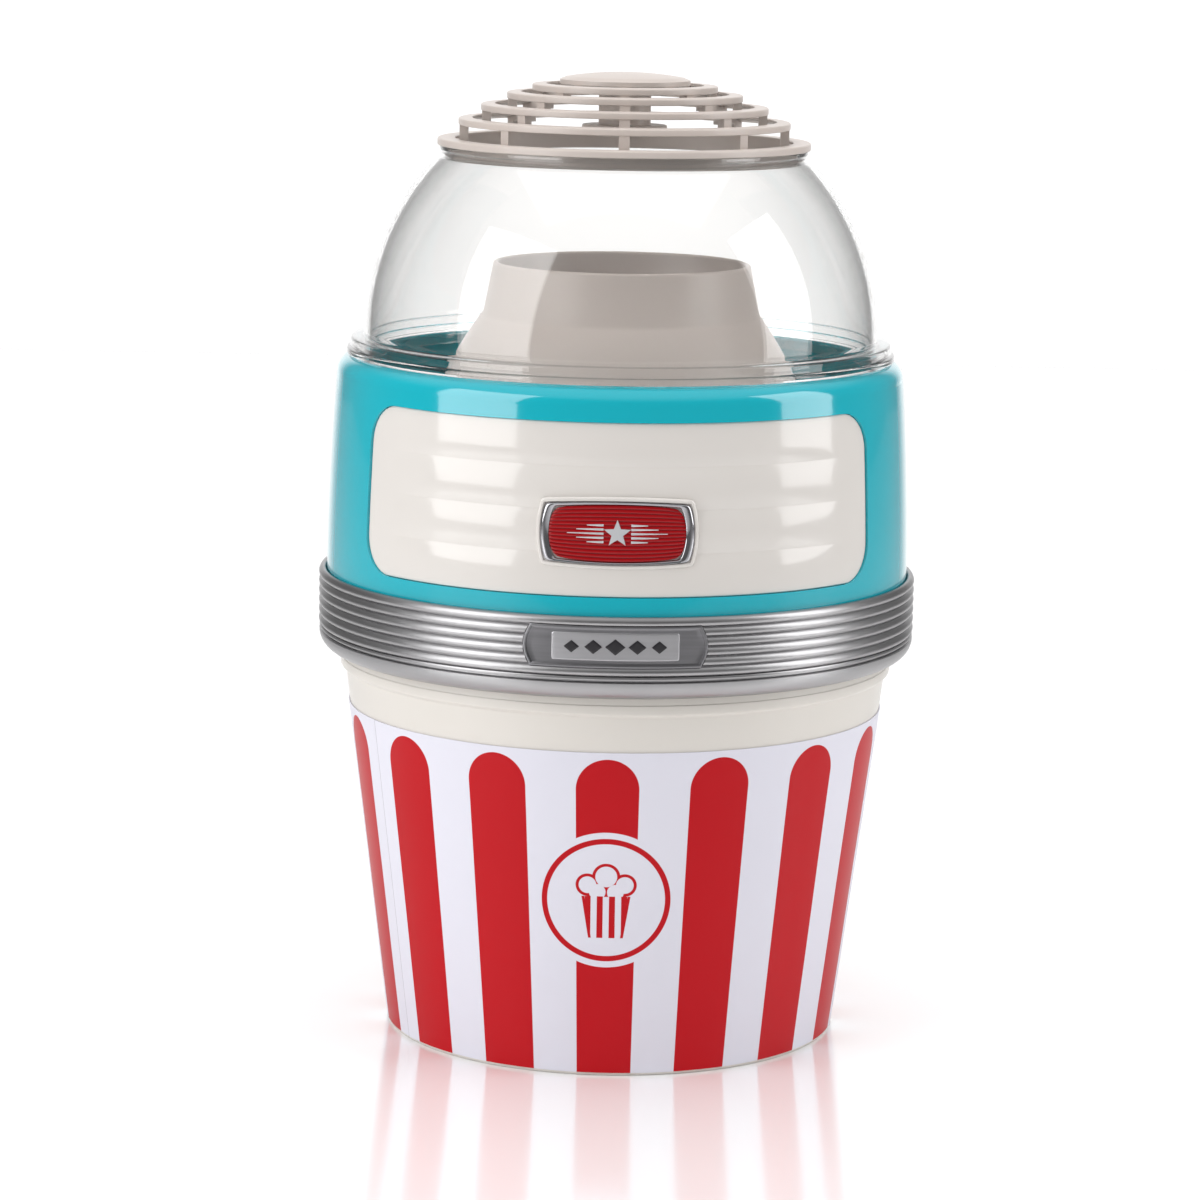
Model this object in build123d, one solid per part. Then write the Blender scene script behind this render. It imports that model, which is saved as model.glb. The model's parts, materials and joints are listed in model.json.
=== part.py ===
from build123d import *
import os
from math import acos, atan2, cos, degrees, radians, sin, sqrt

# Hot-air popcorn maker: a round machine that stands in the mouth of a tapered bucket.
# Millimetres. +Z is up, the floor is z = 0, the axis is x = y = 0 and the front faces -Y.
# Popcorn leaves the central chute, meets the clear dome and drops down the ring-shaped
# gap between the central tower and the sleeve into the bucket.

# ---- general clearances -------------------------------------------------------------
SEAT_GAP = 0.1              # two flat faces that rest on each other
SLIP_GAP = 0.15             # a piece set into a pocket or over a spigot
RUN_GAP = 0.05              # shaft in a bush, radial
LIFT_GAP = 0.6              # pieces that lift off one another, radial

# ---- bucket -------------------------------------------------------------------------
BUCKET_FOOT_R = 90.9        # outer radius at the floor
BUCKET_TAPER = 0.1265       # radius gained per millimetre of height
BUCKET_WALL = 2.0
BUCKET_FLOOR = 3.0
BUCKET_FOOT_RISE = 3.0      # the floor is held this far off the table by the foot ring
BUCKET_FOOT_WIDTH = 5.0
RIM_TOP_Z = 160.0
RIM_STEP_Z = RIM_TOP_Z - 13.0   # where the taper ends and the rim collar begins
RIM_R = 111.5
RIM_WALL = 4.0

# ---- paper label round the bucket -----------------------------------------------------
LABEL_LOW_Z = 1.3
LABEL_TOP_Z = RIM_STEP_Z - 14.3
LABEL_GAP = 0.05
LABEL_THICK = 0.4

# ---- base ring ------------------------------------------------------------------------
DROP_R = 104.0              # radius of the drop gap, outside
BASE_RING_THICK = 4.0
BASE_RING_R = RIM_R + 0.6
SPIGOT_DEPTH = 9.0          # how far the base ring reaches into the bucket
SPIGOT_WALL = 2.4
LUG_REACH = 14.0            # lugs that carry the two arms and the duct
ARM_LUG_WIDTH = 13.0

# ---- metal-look band ------------------------------------------------------------------
BAND_DROP = 5.0             # how far the band hangs below the bucket's rim top
BAND_R = 120.5
BAND_BOTTOM_R = BAND_R - 7.2
BAND_ROLL_R = 7.0
BAND_TOP_Z = RIM_TOP_Z + 27.5
BAND_BORE_R = BAND_R - 2.8
FRONT_DEPTH = 20.5           # how far the front cuts reach in from the band's face
FRONT_OVERSHOOT = 9.5        # and how far they start in front of it
BAND_LIP = 2.0
BAND_LIP_R = 106.4
RIB_START_Z = RIM_TOP_Z + 4.6
RIB_COUNT = 6
RIB_DEPTH = 1.3

# ---- nameplate, left blank ------------------------------------------------------------
PLATE_HALF_W = 34.2
PLATE_END_BOW = 1.5         # the ends bow outwards by this
PLATE_CHAMFER = 2.4
PLATE_LOW_Z = RIM_TOP_Z + 8.0
PLATE_TOP_Z = RIM_TOP_Z + 24.2
PLATE_DEPTH = 1.7
PLATE_RIM = 1.3
INLAY_HALF_W = 24.5
INLAY_MARGIN = 2.8
INLAY_DEPTH = 0.8
INLAY_BELOW = 0.2           # the inlay's face lies this far below the plate's face

# ---- upper housing --------------------------------------------------------------------
SIDE_LOW_Z = BAND_TOP_Z
SIDE_HEIGHT = 79.0
SIDE_LOW_R = BAND_BORE_R - 0.3
SIDE_TOP_Z = SIDE_LOW_Z + SIDE_HEIGHT
SIDE_TOP_R = SIDE_LOW_R - 3.6
SIDE_BULGE = 0.63           # the side bows out by this at mid height
SHOULDER_R = 7.5
HOUSING_WALL = 3.0
LIP_LOW_Z = SIDE_TOP_Z - 8.5
LIP_WALL = 2.2
LIP_ROUND = 1.5
BOSS_R = 108.5              # screw circle that clamps ring, band and housing together
BOSS_WIDTH = 6.4
BOSS_HEIGHT = 24.0
HOUSING_SCREW_ANGLES = (35, 145, 215, 325)
LOUVRE_COUNT = 6
LOUVRE_FIRST_ANGLE = 14.0
LOUVRE_STEP_ANGLE = 3.2
LOUVRE_WIDTH = 3.0
LOUVRE_LOW_Z = SIDE_LOW_Z + 12.5
LOUVRE_TOP_Z = SIDE_LOW_Z + 56.5

# ---- front panel ----------------------------------------------------------------------
PANEL_HALF_ANGLE = 56.6
PANEL_LOW_Z = SIDE_LOW_Z + 7.1
PANEL_TOP_Z = SIDE_TOP_Z - 5.9
PANEL_CORNER_R = 15.0
PANEL_SINK = 0.8            # the panel's face lies this far inside the housing's face
PANEL_THICK = 1.1
PANEL_GROOVES_Z = (PANEL_LOW_Z + 16.4, PANEL_LOW_Z + 32.9, PANEL_LOW_Z + 49.3)
PANEL_GROOVE_HALF_ANGLE = 43.0
PANEL_GROOVE_DEPTH = 0.35
PANEL_GROOVE_WIDTH = 1.6

# ---- badge, left blank ----------------------------------------------------------------
BADGE_HALF_W = 27.4
BADGE_HALF_H = 10.9
BADGE_BOW = 1.1             # how far top and bottom bow outwards
BADGE_END_BOW = 2.0         # how far the ends bow outwards
BADGE_Z = PANEL_LOW_Z + 24.4
BADGE_CORNER_R = 2.6
BADGE_PROUD = 0.9           # the frame stands this far outside the housing's face
BADGE_END_WIDTH = 2.6
BADGE_EDGE_WIDTH = 1.0
BADGE_PLATE_SINK = 0.5
BEZEL_WIDTH = 1.9
BEZEL_RISE = 0.9

# ---- tower and chute ------------------------------------------------------------------
TOWER_R = 68.0
TOWER_WALL = 2.2
TOWER_LOW_Z = RIM_TOP_Z - 21.0
TOWER_TOP_Z = SIDE_TOP_Z - 4.5
TOWER_BASE_THICK = 3.0
COLUMN_R = 4.0
COLUMN_CIRCLE_R = TOWER_R - 7.5
COLUMN_ANGLES = (0, 120, 240)
CHUTE_RIM_Z = TOWER_TOP_Z + 49.0
CHUTE_RIM_R = 51.8
CHUTE_BORE_R = CHUTE_RIM_R - 2.4
CHUTE_NECK_Z = TOWER_TOP_Z + 29.0
CHUTE_NECK_R = CHUTE_RIM_R + 3.6
CHUTE_WALL = 2.2
CHUTE_SKIRT_Z = TOWER_TOP_Z - 8.0
CHUTE_SHOULDER_Z = TOWER_TOP_Z + 4.0
CHUTE_FLARE_BULGE = 0.9
CHUTE_LEDGE_Z = CHUTE_RIM_Z - 13.0
CHUTE_LEDGE_THICK = 2.0

# ---- popping chamber, heater and fan --------------------------------------------------
CHAMBER_R = CHUTE_BORE_R - 5.4
CHAMBER_WALL = 1.0
CHAMBER_CORNER = 1.4
CHAMBER_FLOOR_Z = CHUTE_LEDGE_Z - 64.8
CHAMBER_RIM_R = CHUTE_BORE_R - 1.0
CHAMBER_RIM_THICK = 1.2
CHAMBER_SLOTS = 24
CHAMBER_SLOT_WIDTH = 1.6
CHAMBER_SLOT_LOW = 2.0      # above the chamber floor
CHAMBER_SLOT_HIGH = 11.0
SHIELD_R = CHAMBER_R + 6.0
SHIELD_WALL = 0.6
SHIELD_TOP_Z = CHAMBER_FLOOR_Z + 16.8
SHIELD_FLANGE_R = SHIELD_R + 6.0
SHIELD_SCREW_R = SHIELD_R + 3.0
FAN_TOP_Z = CHAMBER_FLOOR_Z - 33.2
FAN_PLATE_Z = FAN_TOP_Z - 22.0
FAN_PLATE_THICK = 2.5
FAN_SHROUD_WALL = 2.0
FAN_FLANGE_THICK = 4.0
INTAKE_HOLES = 6
INTAKE_HOLE_R = 6.5
INTAKE_CIRCLE_R = 25.0
MICA_THICK = 1.0
MICA_TOP_Z = CHAMBER_FLOOR_Z - 7.2
COIL_RADII = (CHAMBER_R - 14.0, CHAMBER_R - 4.0)
COIL_LEVELS = (FAN_TOP_Z + 8.0, FAN_TOP_Z + 17.0)
COIL_WIRE_R = 1.3
THERMOSTAT_R = 8.0
THERMOSTAT_DEPTH = 7.0
THERMOSTAT_Z = FAN_TOP_Z + 30.0
FUSE_R = 2.0
FUSE_LENGTH = 12.0
FUSE_LOW_Z = FAN_TOP_Z + 12.0

# ---- arms and duct --------------------------------------------------------------------
ARM_ANGLES = (62, -62)
ARM_WIDTH = 9.0
ARM_TOP_Z = FAN_PLATE_Z + 27.0
ARM_SCREW_LEVELS = (FAN_PLATE_Z - 3.0, FAN_PLATE_Z + 17.0)
DUCT_WIDTH = 38.0
DUCT_WALL = 2.0
DUCT_TOP_Z = SIDE_TOP_Z - 14.5
DUCT_EAR_Z = FAN_PLATE_Z + 22.0        # height of the screws through the duct's ears
DUCT_EAR_HALF_H = 10.0
DUCT_REAR_R = 110.8

# ---- motor and impeller ---------------------------------------------------------------
MOTOR_R = 13.85
MOTOR_LOW_Z = FAN_PLATE_Z - 35.8
MOTOR_WALL = 1.0
MOTOR_NOSE_R = 5.0
MOTOR_NOSE_HEIGHT = 1.6
MOTOR_SCREW_CIRCLE_R = 8.0
END_CAP_THICK = 2.0
BUSH_R = 3.0
BUSH_LENGTH = 2.6
SHAFT_R = 1.5
MAGNET_THICK = 2.9
ARMATURE_R = 9.3
ARMATURE_LOW_Z = MOTOR_LOW_Z + 7.8
ARMATURE_TOP_Z = MOTOR_LOW_Z + 27.8
COMMUTATOR_R = 3.5
COMMUTATOR_LOW_Z = MOTOR_LOW_Z + 3.0
IMPELLER_R = SHIELD_R - 10.0
IMPELLER_LOW_Z = FAN_PLATE_Z + 5.5
IMPELLER_TOP_Z = IMPELLER_LOW_Z + 13.0
IMPELLER_PLATE = 1.4
IMPELLER_HUB_R = 5.0
IMPELLER_BLADES = 10
IMPELLER_BLADE_THICK = 1.2
IMPELLER_EYE_R = 15.0
IMPELLER_BLADE_ANGLE = 32.0

# ---- screws ---------------------------------------------------------------------------
SCREW_R = 1.5
SCREW_HEAD_R = 2.8
SCREW_HEAD_HEIGHT = 1.8
SCREW_CLEARANCE = 0.2

# ---- switch and cord inlet at the back ------------------------------------------------
SWITCH_Z = SIDE_LOW_Z + 47.5
SWITCH_SEAT_Y = SIDE_LOW_R - 2.2
SWITCH_BEZEL = (21.0, 2.0, 15.0)
SWITCH_CASE = (18.8, 15.0, 13.0)
ROCKER_WIDTH = 14.0
ROCKER_HALF_H = 5.4
ROCKER_PIVOT_Y = SWITCH_SEAT_Y - 1.0
ROCKER_RISE = 4.6
ROCKER_DIP = 0.8
ROCKER_TILT = 8.0
ROCKER_PIN_R = 1.2
ROCKER_PIN_LENGTH = 1.2
ROCKER_SIDE_GAP = 0.3
ROCKER_END_GAP = 0.9
GLAND_Z = SIDE_LOW_Z + 16.5
GLAND_SEAT_Y = SIDE_LOW_R - 0.9
GLAND_BORE_R = 3.6
GLAND_NECK_R = 6.0
GLAND_FLANGE_R = 8.0
GLAND_FLANGE_THICK = 2.6
GLAND_GRIP = 3.2            # wall thickness that the gland's groove takes
GLAND_TAIL_THICK = 2.0

# ---- electrics inside the duct --------------------------------------------------------
BOARD_Z = RIM_TOP_Z + 8.0
BOARD_SIZE = (26.0, 20.0, 1.6)
BOARD_Y = 82.0
DIODE_R = 1.4
DIODE_LENGTH = 5.0
TERMINAL_SIZE = (20.0, 9.0, 10.0)
TERMINAL_Y = 100.0
LEAD_R = 0.9
LEAD_BEND_R = 6.0

# ---- dome and vent grille -------------------------------------------------------------
DOME_R = DROP_R - 0.8
DOME_CENTRE_Z = SIDE_TOP_Z + 15.5
DOME_WALL = 2.5
DOME_FLANGE_R = DOME_R + 6.8
DOME_FLANGE_THICK = 2.6
DOME_STEP_R = DOME_FLANGE_R - 1.6
DOME_STEP_THICK = 4.0
DOME_SPIGOT_DEPTH = 5.0
DOME_NECK_R = 73.6
DOME_NECK_BORE_R = DOME_NECK_R - 4.0
DOME_NECK_LOW_Z = DOME_CENTRE_Z + 73.2
DOME_NECK_Z = DOME_NECK_LOW_Z + 1.8
GRILLE_R = DOME_NECK_R + 0.9
GRILLE_BASE_THICK = 2.9
GRILLE_SKIRT_Z = DOME_NECK_Z - 4.6
GRILLE_SKIRT_WALL = 2.0
GRILLE_RINGS = (GRILLE_R - 8.3, GRILLE_R - 17.2, GRILLE_R - 27.5, GRILLE_R - 37.5)
GRILLE_CAP_R = GRILLE_R - 48.5
GRILLE_RING_WIDTH = 5.6
GRILLE_RING_HEIGHT = 2.7
GRILLE_ARCH_R = GRILLE_R + 7.9   # half width of the ellipse that the rings stand on
GRILLE_ARCH_HEIGHT = 46.7
GRILLE_ARCH_Z = DOME_NECK_Z - 17.0
GRILLE_RIBS = 8
GRILLE_RIB_WIDTH = 4.2
GRILLE_RIB_INSET = 0.5         # the risers stand this far inside the terraces' edges
GRILLE_RIB_WEB = 3.5
GRILLE_RIB_LINK = 2.6
GRILLE_RIB_SINK = 0.9       # the ribs lie this far under the rings' tops
GRILLE_BOSS_R = 10.4
GRILLE_BOSS_FOOT_R = 17.0
GRILLE_BOSS_FOOT_Z = DOME_NECK_Z + 5.0
GRILLE_BOSS_FOOT_THICK = 4.0

# ---- sizes that follow from the ones above --------------------------------------------
base_low_z = RIM_TOP_Z + SEAT_GAP
base_top_z = base_low_z + BASE_RING_THICK
lip_low_z = base_top_z + SEAT_GAP
lip_top_z = lip_low_z + BAND_LIP
housing_low_z = lip_top_z + SEAT_GAP
deck_z = SIDE_TOP_Z + SHOULDER_R
shoulder_centre_r = SIDE_TOP_R - SHOULDER_R
tower_bore_r = TOWER_R - TOWER_WALL
arm_low_z = base_top_z + SEAT_GAP
chamber_rim_z = CHUTE_LEDGE_Z + CHUTE_LEDGE_THICK + SEAT_GAP
fan_bore_r = SHIELD_R - FAN_SHROUD_WALL
end_cap_low_z = MOTOR_LOW_Z - END_CAP_THICK
dome_low_z = deck_z + SEAT_GAP
FRONT = -90                 # angle of the front, counted from +X


# ---- helpers --------------------------------------------------------------------------
def turned(*points):
    """Solid of revolution about Z from the (radius, height) corners of its section."""
    return revolve(Plane.XZ * make_face(Polyline(*points, close=True)), Axis.Z)


def turned_edges(*edges):
    """Solid of revolution about Z from the edges of its section."""
    return revolve(Plane.XZ * make_face(list(edges)), Axis.Z)


def tube(bore_r, outer_r, z_low, z_high):
    """Plain ring between two radii and two heights."""
    return turned((bore_r, z_low), (outer_r, z_low), (outer_r, z_high), (bore_r, z_high))


def rod(radius, z_low, z_high, at=(0, 0)):
    """Upright cylinder."""
    return Pos(at[0], at[1], (z_low + z_high) / 2) * Cylinder(radius, z_high - z_low)


def block(x_span, y_span, z_span):
    """Box between two planes on each axis."""
    size = [span[1] - span[0] for span in (x_span, y_span, z_span)]
    centre = [(span[0] + span[1]) / 2 for span in (x_span, y_span, z_span)]
    return Pos(*centre) * Box(*size)


def rod_y(radius, y_low, y_high, x=0, z=0):
    """Cylinder that lies along Y."""
    return Pos(x, (y_low + y_high) / 2, z) * Rot(90, 0, 0) * Cylinder(radius, y_high - y_low)


def facing(angle, shape):
    """Turn a shape made at the front to another angle, counted from the front."""
    return Rot(0, 0, angle) * shape


def spot(radius, angle):
    """Point on a circle; the angle is counted from the front."""
    return radius * sin(radians(angle)), -radius * cos(radians(angle))


def bow(centre_r, centre_z, radius, start_angle, end_angle):
    """Arc about a centre in the section plane, between two angles in degrees."""
    angles = (start_angle, (start_angle + end_angle) / 2, end_angle)
    points = [
        (centre_r + radius * cos(radians(a)), centre_z + radius * sin(radians(a)))
        for a in angles
    ]
    return ThreePointArc(*points)


def sector(half_angle, bore_r, outer_r, z_low, z_high):
    """Part of a ring, centred on the front."""
    section = Polyline((bore_r, z_low), (outer_r, z_low), (outer_r, z_high), (bore_r, z_high), close=True)
    whole = revolve(Plane.XZ * make_face(section), Axis.Z, revolution_arc=2 * half_angle)
    return Rot(0, 0, FRONT - half_angle) * whole


def screw(z_head, length, at=(0, 0), up=True):
    """Pan-head screw; the shank runs up (or down) from the underside of its head."""
    way = 1 if up else -1
    ends = sorted((z_head, z_head + way * length))
    head = sorted((z_head, z_head - way * SCREW_HEAD_HEIGHT))
    return rod(SCREW_R, *ends, at) + rod(SCREW_HEAD_R, *head, at)


def fused(shapes):
    """Join a list of overlapping shapes into one solid."""
    shapes = list(shapes)
    return shapes[0].fuse(*shapes[1:])


def group(shapes):
    """Keep separate solids together in one node."""
    return Compound(children=[solid for shape in shapes for solid in shape.solids()])


def bucket_r(z):
    """Outer radius of the tapered wall at a height."""
    return BUCKET_FOOT_R + BUCKET_TAPER * z


def side_r(z):
    """Outer radius of the housing's side at a height."""
    t = (z - SIDE_LOW_Z) / (SIDE_TOP_Z - SIDE_LOW_Z)
    return SIDE_LOW_R + (SIDE_TOP_R - SIDE_LOW_R) * t + 4 * SIDE_BULGE * t * (1 - t)


def side_arc(offset):
    """The housing's side line, moved outwards by an offset."""
    middle_z = (SIDE_LOW_Z + SIDE_TOP_Z) / 2
    return ThreePointArc(
        (SIDE_LOW_R + offset, SIDE_LOW_Z),
        (side_r(middle_z) + offset, middle_z),
        (SIDE_TOP_R + offset, SIDE_TOP_Z),
    )


def side_band(inner, outer):
    """Ring that follows the housing's side between two offsets from its face."""
    low = Line((SIDE_LOW_R + inner, SIDE_LOW_Z), (SIDE_LOW_R + outer, SIDE_LOW_Z))
    top = Line((SIDE_TOP_R + outer, SIDE_TOP_Z), (SIDE_TOP_R + inner, SIDE_TOP_Z))
    return turned_edges(low, side_arc(outer), top, side_arc(inner))


def front_prism(outline):
    """Extrude an outline drawn in X and Z forwards through the front wall."""
    return Pos(0, FRONT_DEPTH - BAND_R, 0) * extrude(Plane.XZ * make_face(outline), FRONT_DEPTH + FRONT_OVERSHOOT)


# ---- bucket and label -----------------------------------------------------------------
def bucket():
    floor_top = BUCKET_FOOT_RISE + BUCKET_FLOOR
    rim_bore_r = RIM_R - RIM_WALL
    foot_bore_r = BUCKET_FOOT_R - BUCKET_FOOT_WIDTH
    return turned(
        (0, BUCKET_FOOT_RISE),
        (foot_bore_r, BUCKET_FOOT_RISE),
        (foot_bore_r, 0),
        (BUCKET_FOOT_R, 0),
        (bucket_r(RIM_STEP_Z), RIM_STEP_Z),
        (RIM_R, RIM_STEP_Z + 1),
        (RIM_R, RIM_TOP_Z),
        (rim_bore_r, RIM_TOP_Z),
        (bucket_r(RIM_STEP_Z) - BUCKET_WALL, RIM_STEP_Z),
        (bucket_r(floor_top) - BUCKET_WALL, floor_top),
        (0, floor_top),
    )


def label_wrap():
    inner = [(bucket_r(z) + LABEL_GAP, z) for z in (LABEL_LOW_Z, LABEL_TOP_Z)]
    outer = [(r + LABEL_THICK, z) for r, z in inner]
    return turned(inner[0], outer[0], outer[1], inner[1])


# ---- base ring, band and nameplate ----------------------------------------------------
def lug(angle, width):
    reach = block((-width / 2, width / 2), (-DROP_R - 2, LUG_REACH - DROP_R), (base_low_z, base_top_z))
    return facing(angle, reach)


def base_ring():
    spigot = tube(DROP_R, DROP_R + SPIGOT_WALL, base_low_z - SPIGOT_DEPTH, base_low_z + 1)
    pieces = [tube(DROP_R, BASE_RING_R, base_low_z, base_top_z), spigot]
    pieces += [lug(angle, ARM_LUG_WIDTH) for angle in ARM_ANGLES]
    pieces.append(lug(180, DUCT_WIDTH))
    ring = fused(pieces)
    for angle in HOUSING_SCREW_ANGLES:
        at = spot(BOSS_R, angle)
        ring -= rod(SCREW_R + SCREW_CLEARANCE, base_low_z - 1, base_top_z + 1, at)
        ring -= rod(SCREW_HEAD_R + SCREW_CLEARANCE, base_low_z - 1, base_low_z + 2.2, at)
    for at in lug_screw_spots():
        ring -= rod(SCREW_R + SCREW_CLEARANCE, base_low_z - 1, base_top_z + 1, at)
    return ring


def lug_screw_spots():
    """One screw under each arm and two under the duct."""
    radius = DROP_R - LUG_REACH / 2
    spots = [spot(radius, angle) for angle in ARM_ANGLES]
    spots += [(side * DUCT_WIDTH / 3, radius) for side in (-1, 1)]
    return spots


def band():
    low_z = RIM_TOP_Z - BAND_DROP
    skirt_bore_r = BAND_BOTTOM_R - 0.9
    roll_top_z = low_z + BAND_ROLL_R
    roll_r = BAND_BOTTOM_R + BAND_ROLL_R
    groove_r = BAND_R - RIB_DEPTH
    pitch = (BAND_TOP_Z - RIB_START_Z) / RIB_COUNT
    edges = [
        Line((skirt_bore_r, low_z), (BAND_BOTTOM_R, low_z)),
        bow(BAND_BOTTOM_R, roll_top_z, BAND_ROLL_R, -90, 0),
        Line((roll_r, roll_top_z), (groove_r, roll_top_z + 0.7)),
        Line((groove_r, roll_top_z + 0.7), (groove_r + 0.6, roll_top_z + 1.2)),
        Line((groove_r + 0.6, roll_top_z + 1.2), (groove_r, RIB_START_Z)),
    ]
    for index in range(RIB_COUNT):
        foot_z = RIB_START_Z + index * pitch
        crest = (BAND_R, foot_z + 0.45 * pitch)
        edges.append(ThreePointArc((groove_r, foot_z), crest, (groove_r, foot_z + pitch)))
    inside = Polyline(
        (groove_r, BAND_TOP_Z),
        (BAND_BORE_R, BAND_TOP_Z),
        (BAND_BORE_R, lip_top_z),
        (BAND_LIP_R, lip_top_z),
        (BAND_LIP_R, lip_low_z),
        (skirt_bore_r, lip_low_z),
        (skirt_bore_r, low_z),
    )
    ring = turned_edges(*edges, *inside.edges())
    for angle in HOUSING_SCREW_ANGLES:
        hole_r = SCREW_R + SCREW_CLEARANCE
        ring -= rod(hole_r, lip_low_z - 1, lip_top_z + 1, spot(BOSS_R, angle))
    recess = front_prism(nameplate_outline(SLIP_GAP))
    return ring - (recess - rod(nameplate_back_r() - SEAT_GAP, 0, DOME_NECK_Z))


def nameplate_back_r():
    return BAND_R - PLATE_DEPTH


def nameplate_outline(grow):
    """Long plate whose ends bow outwards between chamfered corners."""
    half = PLATE_HALF_W + grow
    low = PLATE_LOW_Z - grow
    top = PLATE_TOP_Z + grow
    middle = (low + top) / 2
    flat = half - PLATE_CHAMFER / 2
    edges = []
    for side in (1, -1):
        bottom_corner = (side * flat, low)
        bottom_turn = (side * half, low + PLATE_CHAMFER)
        top_turn = (side * half, top - PLATE_CHAMFER)
        top_corner = (side * flat, top)
        edges.append(Line(bottom_corner, bottom_turn))
        edges.append(ThreePointArc(bottom_turn, (side * (half + PLATE_END_BOW), middle), top_turn))
        edges.append(Line(top_turn, top_corner))
    edges.append(Line((-flat, low), (flat, low)))
    edges.append(Line((-flat, top), (flat, top)))
    return edges


def rectangle_outline(half_w, low, top):
    return Polyline((-half_w, low), (half_w, low), (half_w, top), (-half_w, top), close=True).edges()


def nameplate():
    plate = front_prism(nameplate_outline(0)) & tube(nameplate_back_r(), BAND_R, 0, DOME_NECK_Z)
    field = front_prism(nameplate_outline(-PLATE_RIM)) - rod(BAND_R - INLAY_BELOW, 0, DOME_NECK_Z)
    return plate - field - inlay_blank(SLIP_GAP, INLAY_DEPTH + SEAT_GAP, 2)


def inlay_blank(grow, depth, rise):
    low = PLATE_LOW_Z + INLAY_MARGIN - grow
    top = PLATE_TOP_Z - INLAY_MARGIN + grow
    face_r = BAND_R - INLAY_BELOW
    outline = rectangle_outline(INLAY_HALF_W + grow, low, top)
    return front_prism(outline) & tube(face_r - depth, face_r + rise, 0, DOME_NECK_Z)


def nameplate_inlay():
    return inlay_blank(0, INLAY_DEPTH, 0)


# ---- upper housing, sleeve, panel and badge -------------------------------------------
def upper_housing():
    inner_low_r = SIDE_LOW_R - HOUSING_WALL
    inner_top_r = SIDE_TOP_R - HOUSING_WALL
    deck_low_z = deck_z - HOUSING_WALL
    lip_outer_r = DROP_R + LIP_WALL
    edges = [
        Line((inner_low_r, housing_low_z), (SIDE_LOW_R, housing_low_z)),
        Line((SIDE_LOW_R, housing_low_z), (SIDE_LOW_R, SIDE_LOW_Z)),
        side_arc(0),
        bow(shoulder_centre_r, SIDE_TOP_Z, SHOULDER_R, 0, 90),
        Line((shoulder_centre_r, deck_z), (DROP_R + LIP_ROUND, deck_z)),
        bow(DROP_R + LIP_ROUND, deck_z - LIP_ROUND, LIP_ROUND, 90, 180),
        Line((DROP_R, deck_z - LIP_ROUND), (DROP_R, LIP_LOW_Z)),
        Line((DROP_R, LIP_LOW_Z), (lip_outer_r, LIP_LOW_Z)),
        Line((lip_outer_r, LIP_LOW_Z), (lip_outer_r, deck_low_z)),
        Line((lip_outer_r, deck_low_z), (shoulder_centre_r, deck_low_z)),
        bow(shoulder_centre_r, SIDE_TOP_Z, SHOULDER_R - HOUSING_WALL, 0, 90),
        side_arc(-HOUSING_WALL),
        Line((inner_low_r, SIDE_LOW_Z), (inner_low_r, housing_low_z)),
    ]
    edges = [edge for edge in edges if edge.length > 0.01]
    shell = turned_edges(*edges)
    for angle in HOUSING_SCREW_ANGLES:
        boss = block(
            (-BOSS_WIDTH / 2, BOSS_WIDTH / 2),
            (-inner_low_r - 1, -DROP_R - LIP_WALL - SEAT_GAP - 0.2),
            (housing_low_z, housing_low_z + BOSS_HEIGHT),
        )
        shell += facing(angle, boss)
        shell -= rod(SCREW_R, housing_low_z - 1, housing_low_z + BOSS_HEIGHT - 4, spot(BOSS_R, angle))
    shell -= panel_blank(SLIP_GAP, -PANEL_SINK - PANEL_THICK - SEAT_GAP, 3)
    slot = block((-LOUVRE_WIDTH / 2, LOUVRE_WIDTH / 2), (-130, -108), (LOUVRE_LOW_Z, LOUVRE_TOP_Z))
    for index in range(LOUVRE_COUNT):
        angle = LOUVRE_FIRST_ANGLE + index * LOUVRE_STEP_ANGLE
        shell -= facing(180 - angle, slot)
        shell -= facing(180 + angle, slot)
    shell -= switch_bezel_space()
    shell -= switch_case_space()
    shell -= rod_y(GLAND_FLANGE_R + 0.4, GLAND_SEAT_Y, GLAND_SEAT_Y + 5, 0, GLAND_Z)
    shell -= rod_y(GLAND_FLANGE_R + 0.4, 100, GLAND_SEAT_Y - GLAND_GRIP, 0, GLAND_Z)
    shell -= rod_y(GLAND_NECK_R + SEAT_GAP, 100, 130, 0, GLAND_Z)
    return shell


def inner_sleeve():
    top_z = LIP_LOW_Z - SEAT_GAP
    wall = tube(DROP_R, DROP_R + LIP_WALL - 0.2, base_top_z, top_z)
    half = DUCT_WIDTH / 2 + SLIP_GAP
    return wall - block((-half, half), (0, DROP_R + 20), (base_top_z - 1, DUCT_TOP_Z + SLIP_GAP))


def panel_blank(grow, inner, outer):
    """Rounded field of the front panel, between two offsets from the housing's face."""
    half_angle = PANEL_HALF_ANGLE + degrees(grow / SIDE_LOW_R)
    low = PANEL_LOW_Z - grow
    top = PANEL_TOP_Z + grow
    bore_r = SIDE_TOP_R - 2 * HOUSING_WALL
    outer_r = SIDE_LOW_R + 2 * HOUSING_WALL
    field = sector(half_angle, bore_r, outer_r, low, top)
    corners = [edge for edge in field.edges() if abs(edge.length - (outer_r - bore_r)) < 0.01]
    return fillet(corners, PANEL_CORNER_R + grow) & side_band(inner, outer)


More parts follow.
